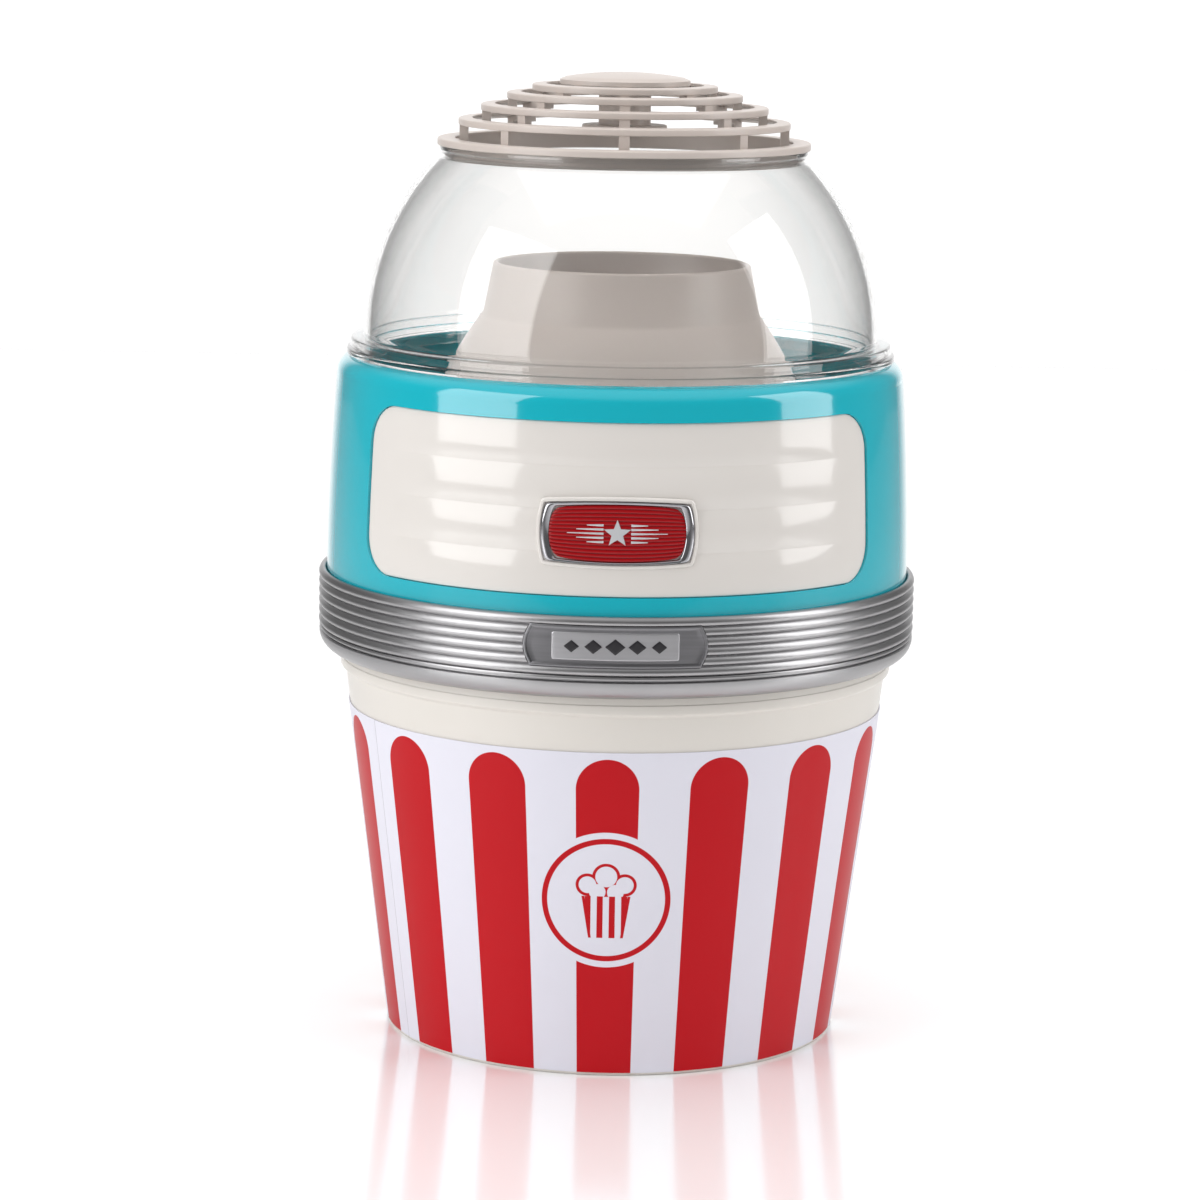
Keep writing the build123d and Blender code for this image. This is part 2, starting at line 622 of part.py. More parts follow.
def front_panel():
    face = -PANEL_SINK
    panel = panel_blank(0, face - PANEL_THICK, face)
    for z in PANEL_GROOVES_Z:
        face_r = side_r(z) + face
        half = PANEL_GROOVE_WIDTH / 2
        section = Polyline(
            (face_r - PANEL_GROOVE_DEPTH, z),
            (face_r + 1, z - 2 * half),
            (face_r + 1, z + 2 * half),
            close=True,
        )
        arc = 2 * PANEL_GROOVE_HALF_ANGLE
        groove = revolve(Plane.XZ * make_face(section), Axis.Z, revolution_arc=arc)
        panel -= Rot(0, 0, FRONT - PANEL_GROOVE_HALF_ANGLE) * groove
    bezel = badge_prism(BEZEL_WIDTH) & side_band(face - PANEL_THICK / 2, face + BEZEL_RISE)
    return panel + bezel - badge_prism(SLIP_GAP)


def badge_prism(grow, end_trim=0.0, edge_trim=0.0):
    """Barrel-shaped block: all four sides bow outwards."""
    half_w = BADGE_HALF_W + grow - end_trim
    half_h = BADGE_HALF_H + grow - edge_trim
    end_x = half_w + BADGE_END_BOW
    edges = []
    for side in (1, -1):
        corners = [(side * half_w, BADGE_Z - half_h), (side * half_w, BADGE_Z + half_h)]
        edges.append(ThreePointArc(corners[0], (side * end_x, BADGE_Z), corners[1]))
        height = BADGE_Z + side * half_h
        bowed = (0, height + side * BADGE_BOW)
        edges.append(ThreePointArc((-half_w, height), bowed, (half_w, height)))
    prism = front_prism(edges)
    upright = [edge for edge in prism.edges().filter_by(Axis.Y)]
    return fillet(upright, BADGE_CORNER_R)


def badge_frame():
    back = -PANEL_SINK - PANEL_THICK
    ring = badge_prism(0) - badge_prism(0, BADGE_END_WIDTH, BADGE_EDGE_WIDTH)
    return ring & side_band(back, BADGE_PROUD)


def badge_plate():
    back = -PANEL_SINK - PANEL_THICK
    plate = badge_prism(-SEAT_GAP, BADGE_END_WIDTH, BADGE_EDGE_WIDTH)
    return plate & side_band(back, BADGE_PROUD - BADGE_PLATE_SINK)


# ---- tower, arms, duct and chute ------------------------------------------------------
def tower_shell():
    pieces = [tube(tower_bore_r, TOWER_R, TOWER_LOW_Z, TOWER_TOP_Z)]
    column_low_z = TOWER_LOW_Z + 5
    column_top_z = FAN_PLATE_Z - SEAT_GAP
    for angle in COLUMN_ANGLES:
        x, y = spot(COLUMN_CIRCLE_R, angle)
        web = block((-1.5, 1.5), (-TOWER_R + 1, -COLUMN_CIRCLE_R), (column_low_z, column_top_z))
        pieces += [rod(COLUMN_R, column_low_z, column_top_z, (x, y)), facing(angle, web)]
    shell = fused(pieces)
    for angle in COLUMN_ANGLES:
        at = spot(COLUMN_CIRCLE_R, angle)
        shell -= rod(SCREW_R, column_low_z - 1, column_low_z + 10, at)
        shell -= rod(SCREW_R, column_top_z - 10, column_top_z + 1, at)
    half = DUCT_WIDTH / 2 - DUCT_WALL
    shell -= block((-half, half), (50, 80), (base_top_z + DUCT_WALL, DUCT_TOP_Z - DUCT_WALL))
    for hole in radial_screw_places():
        shell -= hole * rod_y(SCREW_R + SCREW_CLEARANCE, -80, -50)
    return shell


def radial_screw_places():
    """Places of the screws that hold the arms and the duct to the tower."""
    places = []
    for angle in ARM_ANGLES:
        for z in ARM_SCREW_LEVELS:
            places.append(Rot(0, 0, angle) * Pos(0, 0, z))
    side_angle = degrees(atan2(DUCT_WIDTH / 2 + 4, TOWER_R))
    for side in (-1, 1):
        places.append(Rot(0, 0, 180 + side * side_angle) * Pos(0, 0, DUCT_EAR_Z))
    return places


def tower_screws():
    head = rod_y(SCREW_HEAD_R, -tower_bore_r + 0.6, -tower_bore_r + 0.6 + SCREW_HEAD_HEIGHT)
    shank = rod_y(SCREW_R, -TOWER_R - 3.2, -tower_bore_r + 0.7)
    return group(place * (head + shank) for place in radial_screw_places())


def tower_base():
    spigot_r = tower_bore_r - SLIP_GAP
    low_z = TOWER_LOW_Z - TOWER_BASE_THICK
    edge = 1.5
    cap = turned(
        (0, low_z),
        (TOWER_R - edge, low_z),
        (TOWER_R, low_z + edge),
        (TOWER_R, TOWER_LOW_Z - SEAT_GAP),
        (spigot_r, TOWER_LOW_Z - SEAT_GAP),
        (spigot_r, TOWER_LOW_Z + 4),
        (spigot_r - 1.8, TOWER_LOW_Z + 4),
        (spigot_r - 1.8, TOWER_LOW_Z - SEAT_GAP),
        (0, TOWER_LOW_Z - SEAT_GAP),
    )
    for angle in COLUMN_ANGLES:
        at = spot(COLUMN_CIRCLE_R, angle)
        cap += rod(COLUMN_R, low_z + 0.5, TOWER_LOW_Z + 5 - SEAT_GAP, at)
        cap -= rod(SCREW_R + SCREW_CLEARANCE, low_z - 1, TOWER_LOW_Z + 6, at)
        cap -= rod(SCREW_HEAD_R + SCREW_CLEARANCE, low_z - 1, low_z + SCREW_HEAD_HEIGHT + 0.2, at)
    return cap


def base_screws():
    head_z = TOWER_LOW_Z - TOWER_BASE_THICK + SCREW_HEAD_HEIGHT + 0.1
    return group(screw(head_z, 12, spot(COLUMN_CIRCLE_R, angle)) for angle in COLUMN_ANGLES)


def fan_screws():
    head_z = FAN_PLATE_Z + FAN_PLATE_THICK + SEAT_GAP
    return group(
        screw(head_z, 9, spot(COLUMN_CIRCLE_R, angle), up=False) for angle in COLUMN_ANGLES
    )


def support_arms():
    arms = []
    for angle in ARM_ANGLES:
        half = ARM_WIDTH / 2
        arm = block((-half, half), (-DROP_R, -TOWER_R / 2), (arm_low_z, ARM_TOP_Z))
        arm &= tube(TOWER_R + RUN_GAP, DROP_R - RUN_GAP, 0, DOME_NECK_Z)
        arm = facing(angle, arm)
        for place in radial_screw_places()[:4]:
            arm -= place * rod_y(SCREW_R, -TOWER_R - 5, -TOWER_R / 2)
        arm -= rod(SCREW_R, arm_low_z - 1, arm_low_z + 9, spot(DROP_R - LUG_REACH / 2, angle))
        arms.append(arm)
    return group(arms)


def wiring_duct():
    half = DUCT_WIDTH / 2
    outside = block((-half, half), (0, DUCT_REAR_R + 10), (arm_low_z, DUCT_TOP_Z))
    ear_half = half + 8
    ear_levels = (DUCT_EAR_Z - DUCT_EAR_HALF_H, DUCT_EAR_Z + DUCT_EAR_HALF_H)
    ears = block((-ear_half, ear_half), (0, TOWER_R + 10), ear_levels)
    ears &= tube(TOWER_R, TOWER_R + 3.4, *ear_levels)
    bore = half - DUCT_WALL
    inside = block((-bore, bore), (-1, DUCT_REAR_R + 20), (arm_low_z + DUCT_WALL, DUCT_TOP_Z - DUCT_WALL))
    duct = (outside + ears - inside) & tube(TOWER_R + RUN_GAP, DUCT_REAR_R, 0, DOME_NECK_Z)
    duct -= tube(DROP_R - SLIP_GAP, DUCT_REAR_R + 5, 0, housing_low_z + SEAT_GAP)
    for place in radial_screw_places()[4:]:
        duct -= place * rod_y(SCREW_R, -TOWER_R - 5, -TOWER_R / 2)
    for at in lug_screw_spots()[2:]:
        duct -= rod(SCREW_R, arm_low_z - 1, arm_low_z + DUCT_WALL + 1, at)
    return duct


def lug_screws():
    length = BASE_RING_THICK + DUCT_WALL
    return group(screw(base_low_z - SEAT_GAP, length, at) for at in lug_screw_spots())


def housing_screws():
    head_z = base_low_z + 2.2
    return group(screw(head_z, 18, spot(BOSS_R, angle)) for angle in HOUSING_SCREW_ANGLES)


def chute():
    skirt_bore_r = TOWER_R + SLIP_GAP
    skirt_r = skirt_bore_r + CHUTE_WALL
    mid_r = (skirt_r + CHUTE_NECK_R) / 2 + CHUTE_FLARE_BULGE
    mid_z = (CHUTE_SHOULDER_Z + CHUTE_NECK_Z) / 2
    lip = (CHUTE_RIM_R - CHUTE_BORE_R) / 2
    lip_z = CHUTE_RIM_Z - lip
    ledge_top_z = CHUTE_LEDGE_Z + CHUTE_LEDGE_THICK
    ledge_r = CHAMBER_R + LIFT_GAP
    inner_neck_r = CHUTE_NECK_R - CHUTE_WALL
    edges = [
        Line((skirt_bore_r, CHUTE_SKIRT_Z), (skirt_r, CHUTE_SKIRT_Z)),
        Line((skirt_r, CHUTE_SKIRT_Z), (skirt_r, CHUTE_SHOULDER_Z)),
        ThreePointArc((skirt_r, CHUTE_SHOULDER_Z), (mid_r, mid_z), (CHUTE_NECK_R, CHUTE_NECK_Z)),
        Line((CHUTE_NECK_R, CHUTE_NECK_Z), (CHUTE_RIM_R, lip_z)),
        ThreePointArc(
            (CHUTE_RIM_R, lip_z), ((CHUTE_RIM_R + CHUTE_BORE_R) / 2, CHUTE_RIM_Z), (CHUTE_BORE_R, lip_z)
        ),
        Line((CHUTE_BORE_R, lip_z), (CHUTE_BORE_R + 0.5, ledge_top_z)),
        Line((CHUTE_BORE_R + 0.5, ledge_top_z), (ledge_r, ledge_top_z)),
        Line((ledge_r, ledge_top_z), (ledge_r, CHUTE_LEDGE_Z)),
        Line((ledge_r, CHUTE_LEDGE_Z), (inner_neck_r - 1, CHUTE_LEDGE_Z)),
        Line((inner_neck_r - 1, CHUTE_LEDGE_Z), (inner_neck_r, CHUTE_NECK_Z)),
        Line((inner_neck_r, CHUTE_NECK_Z), (skirt_bore_r, CHUTE_SHOULDER_Z - 2)),
        Line((skirt_bore_r, CHUTE_SHOULDER_Z - 2), (skirt_bore_r, CHUTE_SKIRT_Z)),
    ]
    return turned_edges(*edges)


# ---- popping chamber and heater -------------------------------------------------------
def popping_chamber():
    bore_r = CHAMBER_R - CHAMBER_WALL
    rim_top_z = chamber_rim_z + CHAMBER_RIM_THICK
    floor_top_z = CHAMBER_FLOOR_Z + CHAMBER_WALL
    cup = turned(
        (0, CHAMBER_FLOOR_Z),
        (CHAMBER_R - CHAMBER_CORNER, CHAMBER_FLOOR_Z),
        (CHAMBER_R, CHAMBER_FLOOR_Z + CHAMBER_CORNER),
        (CHAMBER_R, chamber_rim_z),
        (CHAMBER_RIM_R, chamber_rim_z),
        (CHAMBER_RIM_R, rim_top_z),
        (bore_r, rim_top_z),
        (bore_r, floor_top_z + CHAMBER_CORNER),
        (bore_r - CHAMBER_CORNER, floor_top_z),
        (0, floor_top_z),
    )
    slot = Pos(0, -CHAMBER_R, 0) * Rot(0, 0, 35) * block(
        (-CHAMBER_SLOT_WIDTH / 2, CHAMBER_SLOT_WIDTH / 2),
        (-3, 3),
        (floor_top_z + CHAMBER_SLOT_LOW + 2, floor_top_z + CHAMBER_SLOT_HIGH),
    )
    for index in range(CHAMBER_SLOTS):
        cup -= facing(360 / CHAMBER_SLOTS * index, slot)
    return cup


def heater_shield():
    low_z = FAN_TOP_Z + SEAT_GAP
    bore_r = SHIELD_R - SHIELD_WALL
    top_bore_r = CHAMBER_R + SLIP_GAP
    shield = turned(
        (bore_r, low_z),
        (SHIELD_FLANGE_R, low_z),
        (SHIELD_FLANGE_R, low_z + SHIELD_WALL),
        (SHIELD_R, low_z + SHIELD_WALL),
        (SHIELD_R, SHIELD_TOP_Z),
        (top_bore_r, SHIELD_TOP_Z),
        (top_bore_r, SHIELD_TOP_Z - SHIELD_WALL),
        (bore_r, SHIELD_TOP_Z - SHIELD_WALL),
    )
    for angle in COLUMN_ANGLES:
        at = spot(SHIELD_SCREW_R, angle + 60)
        shield -= rod(SCREW_R + SCREW_CLEARANCE, low_z - 1, low_z + 2, at)
    return shield


def shield_screws():
    head_z = FAN_TOP_Z + 2 * SEAT_GAP + SHIELD_WALL
    return group(
        screw(head_z, 4, spot(SHIELD_SCREW_R, angle + 60), up=False) for angle in COLUMN_ANGLES
    )


def heater_frame():
    low_z = FAN_TOP_Z + SEAT_GAP
    half = SHIELD_R - SHIELD_WALL - SLIP_GAP
    middle_z = (low_z + MICA_TOP_Z) / 2
    board = block((-half, half), (-MICA_THICK / 2, MICA_THICK / 2), (low_z, MICA_TOP_Z))
    for radius in COIL_RADII:
        for z in COIL_LEVELS:
            hole = rod_y(COIL_WIRE_R + SLIP_GAP, -5, 5, radius, z)
            board -= hole
            board -= Rot(0, 0, 180) * hole
    slot_half = MICA_THICK / 2 + RUN_GAP
    lower_slot = block((-slot_half, slot_half), (-5, 5), (low_z - 1, middle_z + RUN_GAP))
    upper_slot = block((-slot_half, slot_half), (-5, 5), (middle_z - RUN_GAP, MICA_TOP_Z + 1))
    return group([board - lower_slot, Rot(0, 0, 90) * (board - upper_slot)])


def heater_coil():
    turns = [
        Pos(0, 0, z) * Torus(radius, COIL_WIRE_R) for radius in COIL_RADII for z in COIL_LEVELS
    ]
    return group(turns)


def thermostat():
    y_low = SHIELD_R + SEAT_GAP
    can = rod_y(THERMOSTAT_R, y_low, y_low + THERMOSTAT_DEPTH, 0, THERMOSTAT_Z)
    tab_reach = (y_low + THERMOSTAT_DEPTH - 1, y_low + THERMOSTAT_DEPTH + 5)
    tab_levels = (THERMOSTAT_Z - 3, THERMOSTAT_Z + 3)
    tabs = block((-5, -3), tab_reach, tab_levels)
    tabs += block((3, 5), tab_reach, tab_levels)
    return fused([can, tabs])


def thermal_fuse():
    at = spot(SHIELD_R + FUSE_R + SEAT_GAP, 150)
    return rod(FUSE_R, FUSE_LOW_Z, FUSE_LOW_Z + FUSE_LENGTH, at)


# ---- fan housing, motor and rotor -----------------------------------------------------
def fan_housing():
    plate_top_z = FAN_PLATE_Z + FAN_PLATE_THICK
    plate_r = tower_bore_r - LIFT_GAP
    flange_low_z = FAN_TOP_Z - FAN_FLANGE_THICK
    body = turned(
        (MOTOR_NOSE_R + SLIP_GAP, FAN_PLATE_Z),
        (plate_r, FAN_PLATE_Z),
        (plate_r, plate_top_z),
        (SHIELD_R, plate_top_z),
        (SHIELD_R, flange_low_z),
        (SHIELD_FLANGE_R, flange_low_z),
        (SHIELD_FLANGE_R, FAN_TOP_Z),
        (fan_bore_r, FAN_TOP_Z),
        (fan_bore_r, plate_top_z),
        (MOTOR_NOSE_R + SLIP_GAP, plate_top_z),
    )
    for index in range(INTAKE_HOLES):
        at = spot(INTAKE_CIRCLE_R, 360 / INTAKE_HOLES * index)
        body -= rod(INTAKE_HOLE_R, FAN_PLATE_Z - 1, plate_top_z + 1, at)
    for angle in COLUMN_ANGLES:
        at = spot(COLUMN_CIRCLE_R, angle)
        body -= rod(SCREW_R + SCREW_CLEARANCE, FAN_PLATE_Z - 1, plate_top_z + 1, at)
        at = spot(SHIELD_SCREW_R, angle + 60)
        body -= rod(SCREW_R, flange_low_z - 1, FAN_TOP_Z + 1, at)
    for side in (-1, 1):
        at = (side * MOTOR_SCREW_CIRCLE_R, 0)
        body -= rod(SCREW_R + SCREW_CLEARANCE, FAN_PLATE_Z - 1, plate_top_z + 1, at)
    return body


def motor_can():
    top_z = FAN_PLATE_Z - SEAT_GAP
    bore_r = MOTOR_R - MOTOR_WALL
    can = turned(
        (BUSH_R, top_z - MOTOR_WALL),
        (bore_r, top_z - MOTOR_WALL),
        (bore_r, MOTOR_LOW_Z),
        (MOTOR_R, MOTOR_LOW_Z),
        (MOTOR_R, top_z),
        (MOTOR_NOSE_R, top_z),
        (MOTOR_NOSE_R, top_z + MOTOR_NOSE_HEIGHT),
        (BUSH_R, top_z + MOTOR_NOSE_HEIGHT),
    )
    for side in (-1, 1):
        at = (side * MOTOR_SCREW_CIRCLE_R, 0)
        can -= rod(SCREW_R, top_z - MOTOR_WALL - 1, top_z + 1, at)
    return can


def motor_screws():
    head_z = FAN_PLATE_Z + FAN_PLATE_THICK + SEAT_GAP
    length = FAN_PLATE_THICK + MOTOR_WALL + 2 * SEAT_GAP
    spots = [(side * MOTOR_SCREW_CIRCLE_R, 0) for side in (-1, 1)]
    return group(screw(head_z, length, at, up=False) for at in spots)


def motor_end_cap():
    spigot_r = MOTOR_R - MOTOR_WALL - RUN_GAP
    cap = turned(
        (BUSH_R, end_cap_low_z),
        (MOTOR_R, end_cap_low_z),
        (MOTOR_R, MOTOR_LOW_Z - RUN_GAP),
        (spigot_r, MOTOR_LOW_Z - RUN_GAP),
        (spigot_r, MOTOR_LOW_Z + 1.5),
        (BUSH_R, MOTOR_LOW_Z + 1.5),
    )
    return cap


def motor_bushes():
    top_z = FAN_PLATE_Z - SEAT_GAP + MOTOR_NOSE_HEIGHT
    bore_r = SHAFT_R + RUN_GAP
    upper = tube(bore_r, BUSH_R, top_z - BUSH_LENGTH, top_z)
    lower = tube(bore_r, BUSH_R, end_cap_low_z, end_cap_low_z + BUSH_LENGTH)
    return group([upper, lower])


def motor_magnets():
    outer_r = MOTOR_R - MOTOR_WALL - RUN_GAP
    magnet = sector(60, outer_r - MAGNET_THICK, outer_r, ARMATURE_LOW_Z - 2, ARMATURE_TOP_Z + 2)
    return group([magnet, facing(180, magnet)])


def motor_brushes():
    cap_top_z = MOTOR_LOW_Z + 1.5
    inner_x = COMMUTATOR_R + RUN_GAP
    carbon = block((inner_x, inner_x + 3), (-1.2, 1.2), (COMMUTATOR_LOW_Z + 0.6, COMMUTATOR_LOW_Z + 3.2))
    holder = block((inner_x + 1.5, inner_x + 4.5), (-1.2, 1.2), (cap_top_z, COMMUTATOR_LOW_Z + 3.2))
    brush = carbon + holder
    return group([brush, Rot(0, 0, 180) * brush])


def motor_shaft():
    return rod(SHAFT_R, end_cap_low_z + 0.3, IMPELLER_TOP_Z)


def armature():
    core = tube(SHAFT_R, ARMATURE_R, ARMATURE_LOW_Z, ARMATURE_TOP_Z)
    slot = block((-0.7, 0.7), (-ARMATURE_R - 1, -ARMATURE_R + 4), (ARMATURE_LOW_Z - 1, ARMATURE_TOP_Z + 1))
    pocket = rod(2.1, ARMATURE_LOW_Z - 1, ARMATURE_TOP_Z + 1, (0, -ARMATURE_R + 3.6))
    for index in range(5):
        core -= facing(72 * index, slot)
        core -= facing(72 * index, pocket)
    return core


def commutator():
    return tube(SHAFT_R, COMMUTATOR_R, COMMUTATOR_LOW_Z, ARMATURE_LOW_Z)


def impeller():
    plate_low_z = IMPELLER_TOP_Z - IMPELLER_PLATE
    hub = rod(IMPELLER_HUB_R, IMPELLER_LOW_Z, IMPELLER_TOP_Z)
    plate = rod(IMPELLER_R, plate_low_z, IMPELLER_TOP_Z)
    blade_length = IMPELLER_R - IMPELLER_EYE_R
    half = IMPELLER_BLADE_THICK / 2
    blade = block((-half, half), (-blade_length, 0), (IMPELLER_LOW_Z, plate_low_z + 0.5))
    blade = Pos(0, -IMPELLER_EYE_R, 0) * Rot(0, 0, IMPELLER_BLADE_ANGLE) * blade
    blades = [facing(360 / IMPELLER_BLADES * index, blade) for index in range(IMPELLER_BLADES)]
    wheel = fused([hub, plate] + blades) & rod(IMPELLER_R, 0, DOME_NECK_Z)
    return wheel - rod(SHAFT_R, IMPELLER_LOW_Z - 1, IMPELLER_TOP_Z + 1)


# ---- electrics ------------------------------------------------------------------------
def rectifier_board():
    width, depth, thick = BOARD_SIZE
    low_z = arm_low_z + DUCT_WALL
    across_y = (BOARD_Y - depth / 2, BOARD_Y + depth / 2)
    board = block((-width / 2, width / 2), across_y, (BOARD_Z, BOARD_Z + thick))
    for x in (-width / 2 + 3, width / 2 - 3):
        board += rod(1.6, low_z, BOARD_Z + 0.5, (x, BOARD_Y))
    return board


def diodes():
    low_z = BOARD_Z + BOARD_SIZE[2]
    row = []
    for index in range(4):
        x = (index - 1.5) * 5.0
        row.append(rod_y(DIODE_R, BOARD_Y - DIODE_LENGTH / 2, BOARD_Y + DIODE_LENGTH / 2, x, low_z + DIODE_R))
    return group(row)


def terminal_block():
    width, depth, height = TERMINAL_SIZE
    low_z = arm_low_z + DUCT_WALL
    across_y = (TERMINAL_Y - depth / 2, TERMINAL_Y + depth / 2)
    body = block((-width / 2, width / 2), across_y, (low_z, low_z + height))
    for index in range(3):
        x = (index - 1) * 6.0
        body -= rod(1.8, low_z + 3, low_z + height + 1, (x, TERMINAL_Y))
    return body


def lead(*points):
    """Insulated wire: straight runs joined by tangent arcs."""
    path = FilletPolyline(*points, radius=LEAD_BEND_R)
    start = Plane(origin=points[0], z_dir=Vector(*points[1]) - Vector(*points[0]))
    return sweep(start * Circle(LEAD_R), path=path)


def internal_leads():
    terminal_top = arm_low_z + DUCT_WALL + TERMINAL_SIZE[2]
    case_back_y = SWITCH_SEAT_Y - SWITCH_CASE[1]
    switch_lead = lead(
        (-6, TERMINAL_Y, terminal_top),
        (-6, TERMINAL_Y, terminal_top + 14),
        (-6, 88, terminal_top + 32),
        (-6, 88, SWITCH_Z),
        (-6, case_back_y - 0.1, SWITCH_Z),
    )
    heater_lead = lead(
        (6, case_back_y - 0.1, SWITCH_Z),
        (6, 82, SWITCH_Z),
        (4, 66, THERMOSTAT_Z),
        (4, SHIELD_R + SEAT_GAP + THERMOSTAT_DEPTH + 5.1, THERMOSTAT_Z),
    )
    board_mid_z = BOARD_Z + BOARD_SIZE[2] / 2
    board_front_y = BOARD_Y - BOARD_SIZE[1] / 2
    motor_lead = lead(
        (10, board_front_y - 0.1, board_mid_z),
        (10, board_front_y - 14, board_mid_z),
        (0, 34, MOTOR_LOW_Z + 8),
        (0, MOTOR_R + 2 * SEAT_GAP, MOTOR_LOW_Z + 4),
    )
    return group([switch_lead, heater_lead, motor_lead])


# ---- switch and gland -----------------------------------------------------------------
def switch_bezel_space():
    width, depth, height = SWITCH_BEZEL
    grow = 0.4
    return block(
        (-width / 2 - grow, width / 2 + grow),
        (SWITCH_SEAT_Y, SWITCH_SEAT_Y + 5),
        (SWITCH_Z - height / 2 - grow, SWITCH_Z + height / 2 + grow),
    )


def switch_case_space():
    width, depth, height = SWITCH_CASE
    return block(
        (-width / 2 - SEAT_GAP, width / 2 + SEAT_GAP),
        (SWITCH_SEAT_Y - depth - 1, SWITCH_SEAT_Y + 1),
        (SWITCH_Z - height / 2 - SEAT_GAP, SWITCH_Z + height / 2 + SEAT_GAP),
    )


def switch_body():
    bezel_w, bezel_d, bezel_h = SWITCH_BEZEL
    case_w, case_d, case_h = SWITCH_CASE
    bezel = block(
        (-bezel_w / 2, bezel_w / 2),
        (SWITCH_SEAT_Y, SWITCH_SEAT_Y + bezel_d),
        (SWITCH_Z - bezel_h / 2, SWITCH_Z + bezel_h / 2),
    )
    front_edges = [edge for edge in bezel.faces().sort_by(Axis.Y)[-1].edges()]
    bezel = chamfer(front_edges, 0.6)
    case = block(
        (-case_w / 2, case_w / 2),
        (SWITCH_SEAT_Y - case_d, SWITCH_SEAT_Y + 0.5),
        (SWITCH_Z - case_h / 2, SWITCH_Z + case_h / 2),
    )
    half_w = ROCKER_WIDTH / 2 + ROCKER_SIDE_GAP
    half_h = ROCKER_HALF_H + ROCKER_END_GAP
    well = block((-half_w, half_w), (ROCKER_PIVOT_Y - 4, ROCKER_PIVOT_Y + 20), (SWITCH_Z - half_h, SWITCH_Z + half_h))
    pin_r = ROCKER_PIN_R + RUN_GAP
    pin_half = half_w + ROCKER_PIN_LENGTH
    pins = Pos(0, ROCKER_PIVOT_Y, SWITCH_Z) * Rot(0, 90, 0) * Cylinder(pin_r, 2 * pin_half)
    return fused([bezel, case]) - well - pins


def switch_rocker():
    points = [
        (-1.6, -ROCKER_HALF_H + 1.2),
        (ROCKER_RISE, -ROCKER_HALF_H),
        (ROCKER_RISE - ROCKER_DIP, 0),
        (ROCKER_RISE, ROCKER_HALF_H),
        (-1.6, ROCKER_HALF_H - 1.2),
    ]
    face = Plane.YZ * make_face(Polyline(*points, close=True))
    key = Pos(-ROCKER_WIDTH / 2, 0, 0) * extrude(face, ROCKER_WIDTH)
    pin_half = ROCKER_WIDTH / 2 + ROCKER_SIDE_GAP + ROCKER_PIN_LENGTH - 0.2
    key += Rot(0, 90, 0) * Cylinder(ROCKER_PIN_R, 2 * pin_half)
    return Pos(0, ROCKER_PIVOT_Y, SWITCH_Z) * Rot(-ROCKER_TILT, 0, 0) * key


def cord_gland():
    tail_y = GLAND_SEAT_Y - GLAND_GRIP - SEAT_GAP
    flange = rod_y(GLAND_FLANGE_R, GLAND_SEAT_Y + SEAT_GAP, GLAND_SEAT_Y + GLAND_FLANGE_THICK, 0, GLAND_Z)
    flange = chamfer(flange.faces().sort_by(Axis.Y)[-1].edges(), 0.8)
    neck = rod_y(GLAND_NECK_R, tail_y - 0.5, GLAND_SEAT_Y + 1, 0, GLAND_Z)
    tail = rod_y(GLAND_FLANGE_R - 0.6, tail_y - GLAND_TAIL_THICK, tail_y, 0, GLAND_Z)
    return fused([flange, neck, tail]) - rod_y(GLAND_BORE_R, 100, 130, 0, GLAND_Z)


# ---- dome and grille ------------------------------------------------------------------
def sphere_angle(radius, z):
    """Angle above the horizontal at which a sphere about the dome's centre meets a height."""
    reach = sqrt(radius ** 2 - (z - DOME_CENTRE_Z) ** 2)
    return degrees(atan2(z - DOME_CENTRE_Z, reach))


def dome_lid():
    inner_r = DOME_R - DOME_WALL
    spigot_r = DROP_R - LIFT_GAP
    spigot_bore_r = spigot_r - DOME_WALL
    step_z = dome_low_z + DOME_FLANGE_THICK
    step_top_z = step_z + DOME_STEP_THICK
    outer_start = sphere_angle(DOME_R, step_top_z)
    outer_end = sphere_angle(DOME_R, DOME_NECK_LOW_Z)
    inner_top_z = DOME_NECK_Z - 4
    inner_end = sphere_angle(inner_r, inner_top_z)
    outer_low_r = DOME_R * cos(radians(outer_start))
    outer_top_r = DOME_R * cos(radians(outer_end))
    inner_top_r = inner_r * cos(radians(inner_end))
    outline = [
        (spigot_bore_r, dome_low_z - DOME_SPIGOT_DEPTH),
        (spigot_r, dome_low_z - DOME_SPIGOT_DEPTH),
        (spigot_r, dome_low_z),
        (DOME_FLANGE_R, dome_low_z),
        (DOME_FLANGE_R, step_z - 0.6),
        (DOME_FLANGE_R - 0.8, step_z),
        (DOME_STEP_R, step_z),
        (DOME_STEP_R, step_top_z - 0.8),
        (DOME_STEP_R - 0.8, step_top_z),
        (outer_low_r, step_top_z),
    ]
    crown = [
        (outer_top_r, DOME_NECK_LOW_Z),
        (DOME_NECK_R, DOME_NECK_LOW_Z),
        (DOME_NECK_R, DOME_NECK_Z),
        (DOME_NECK_BORE_R, DOME_NECK_Z),
        (DOME_NECK_BORE_R, inner_top_z),
        (inner_top_r, inner_top_z),
    ]
    edges = list(Polyline(*outline).edges())
    edges.append(bow(0, DOME_CENTRE_Z, DOME_R, outer_start, outer_end))
    edges += list(Polyline(*crown).edges())
    edges.append(bow(0, DOME_CENTRE_Z, inner_r, inner_end, 0))
    edges.append(Line((inner_r, DOME_CENTRE_Z), (spigot_bore_r, dome_low_z - DOME_SPIGOT_DEPTH)))
    return turned_edges(*edges)


def arch_z(radius):
    """Height of the grille's elliptical arch at a radius."""
    return GRILLE_ARCH_Z + GRILLE_ARCH_HEIGHT * sqrt(1 - (radius / GRILLE_ARCH_R) ** 2)


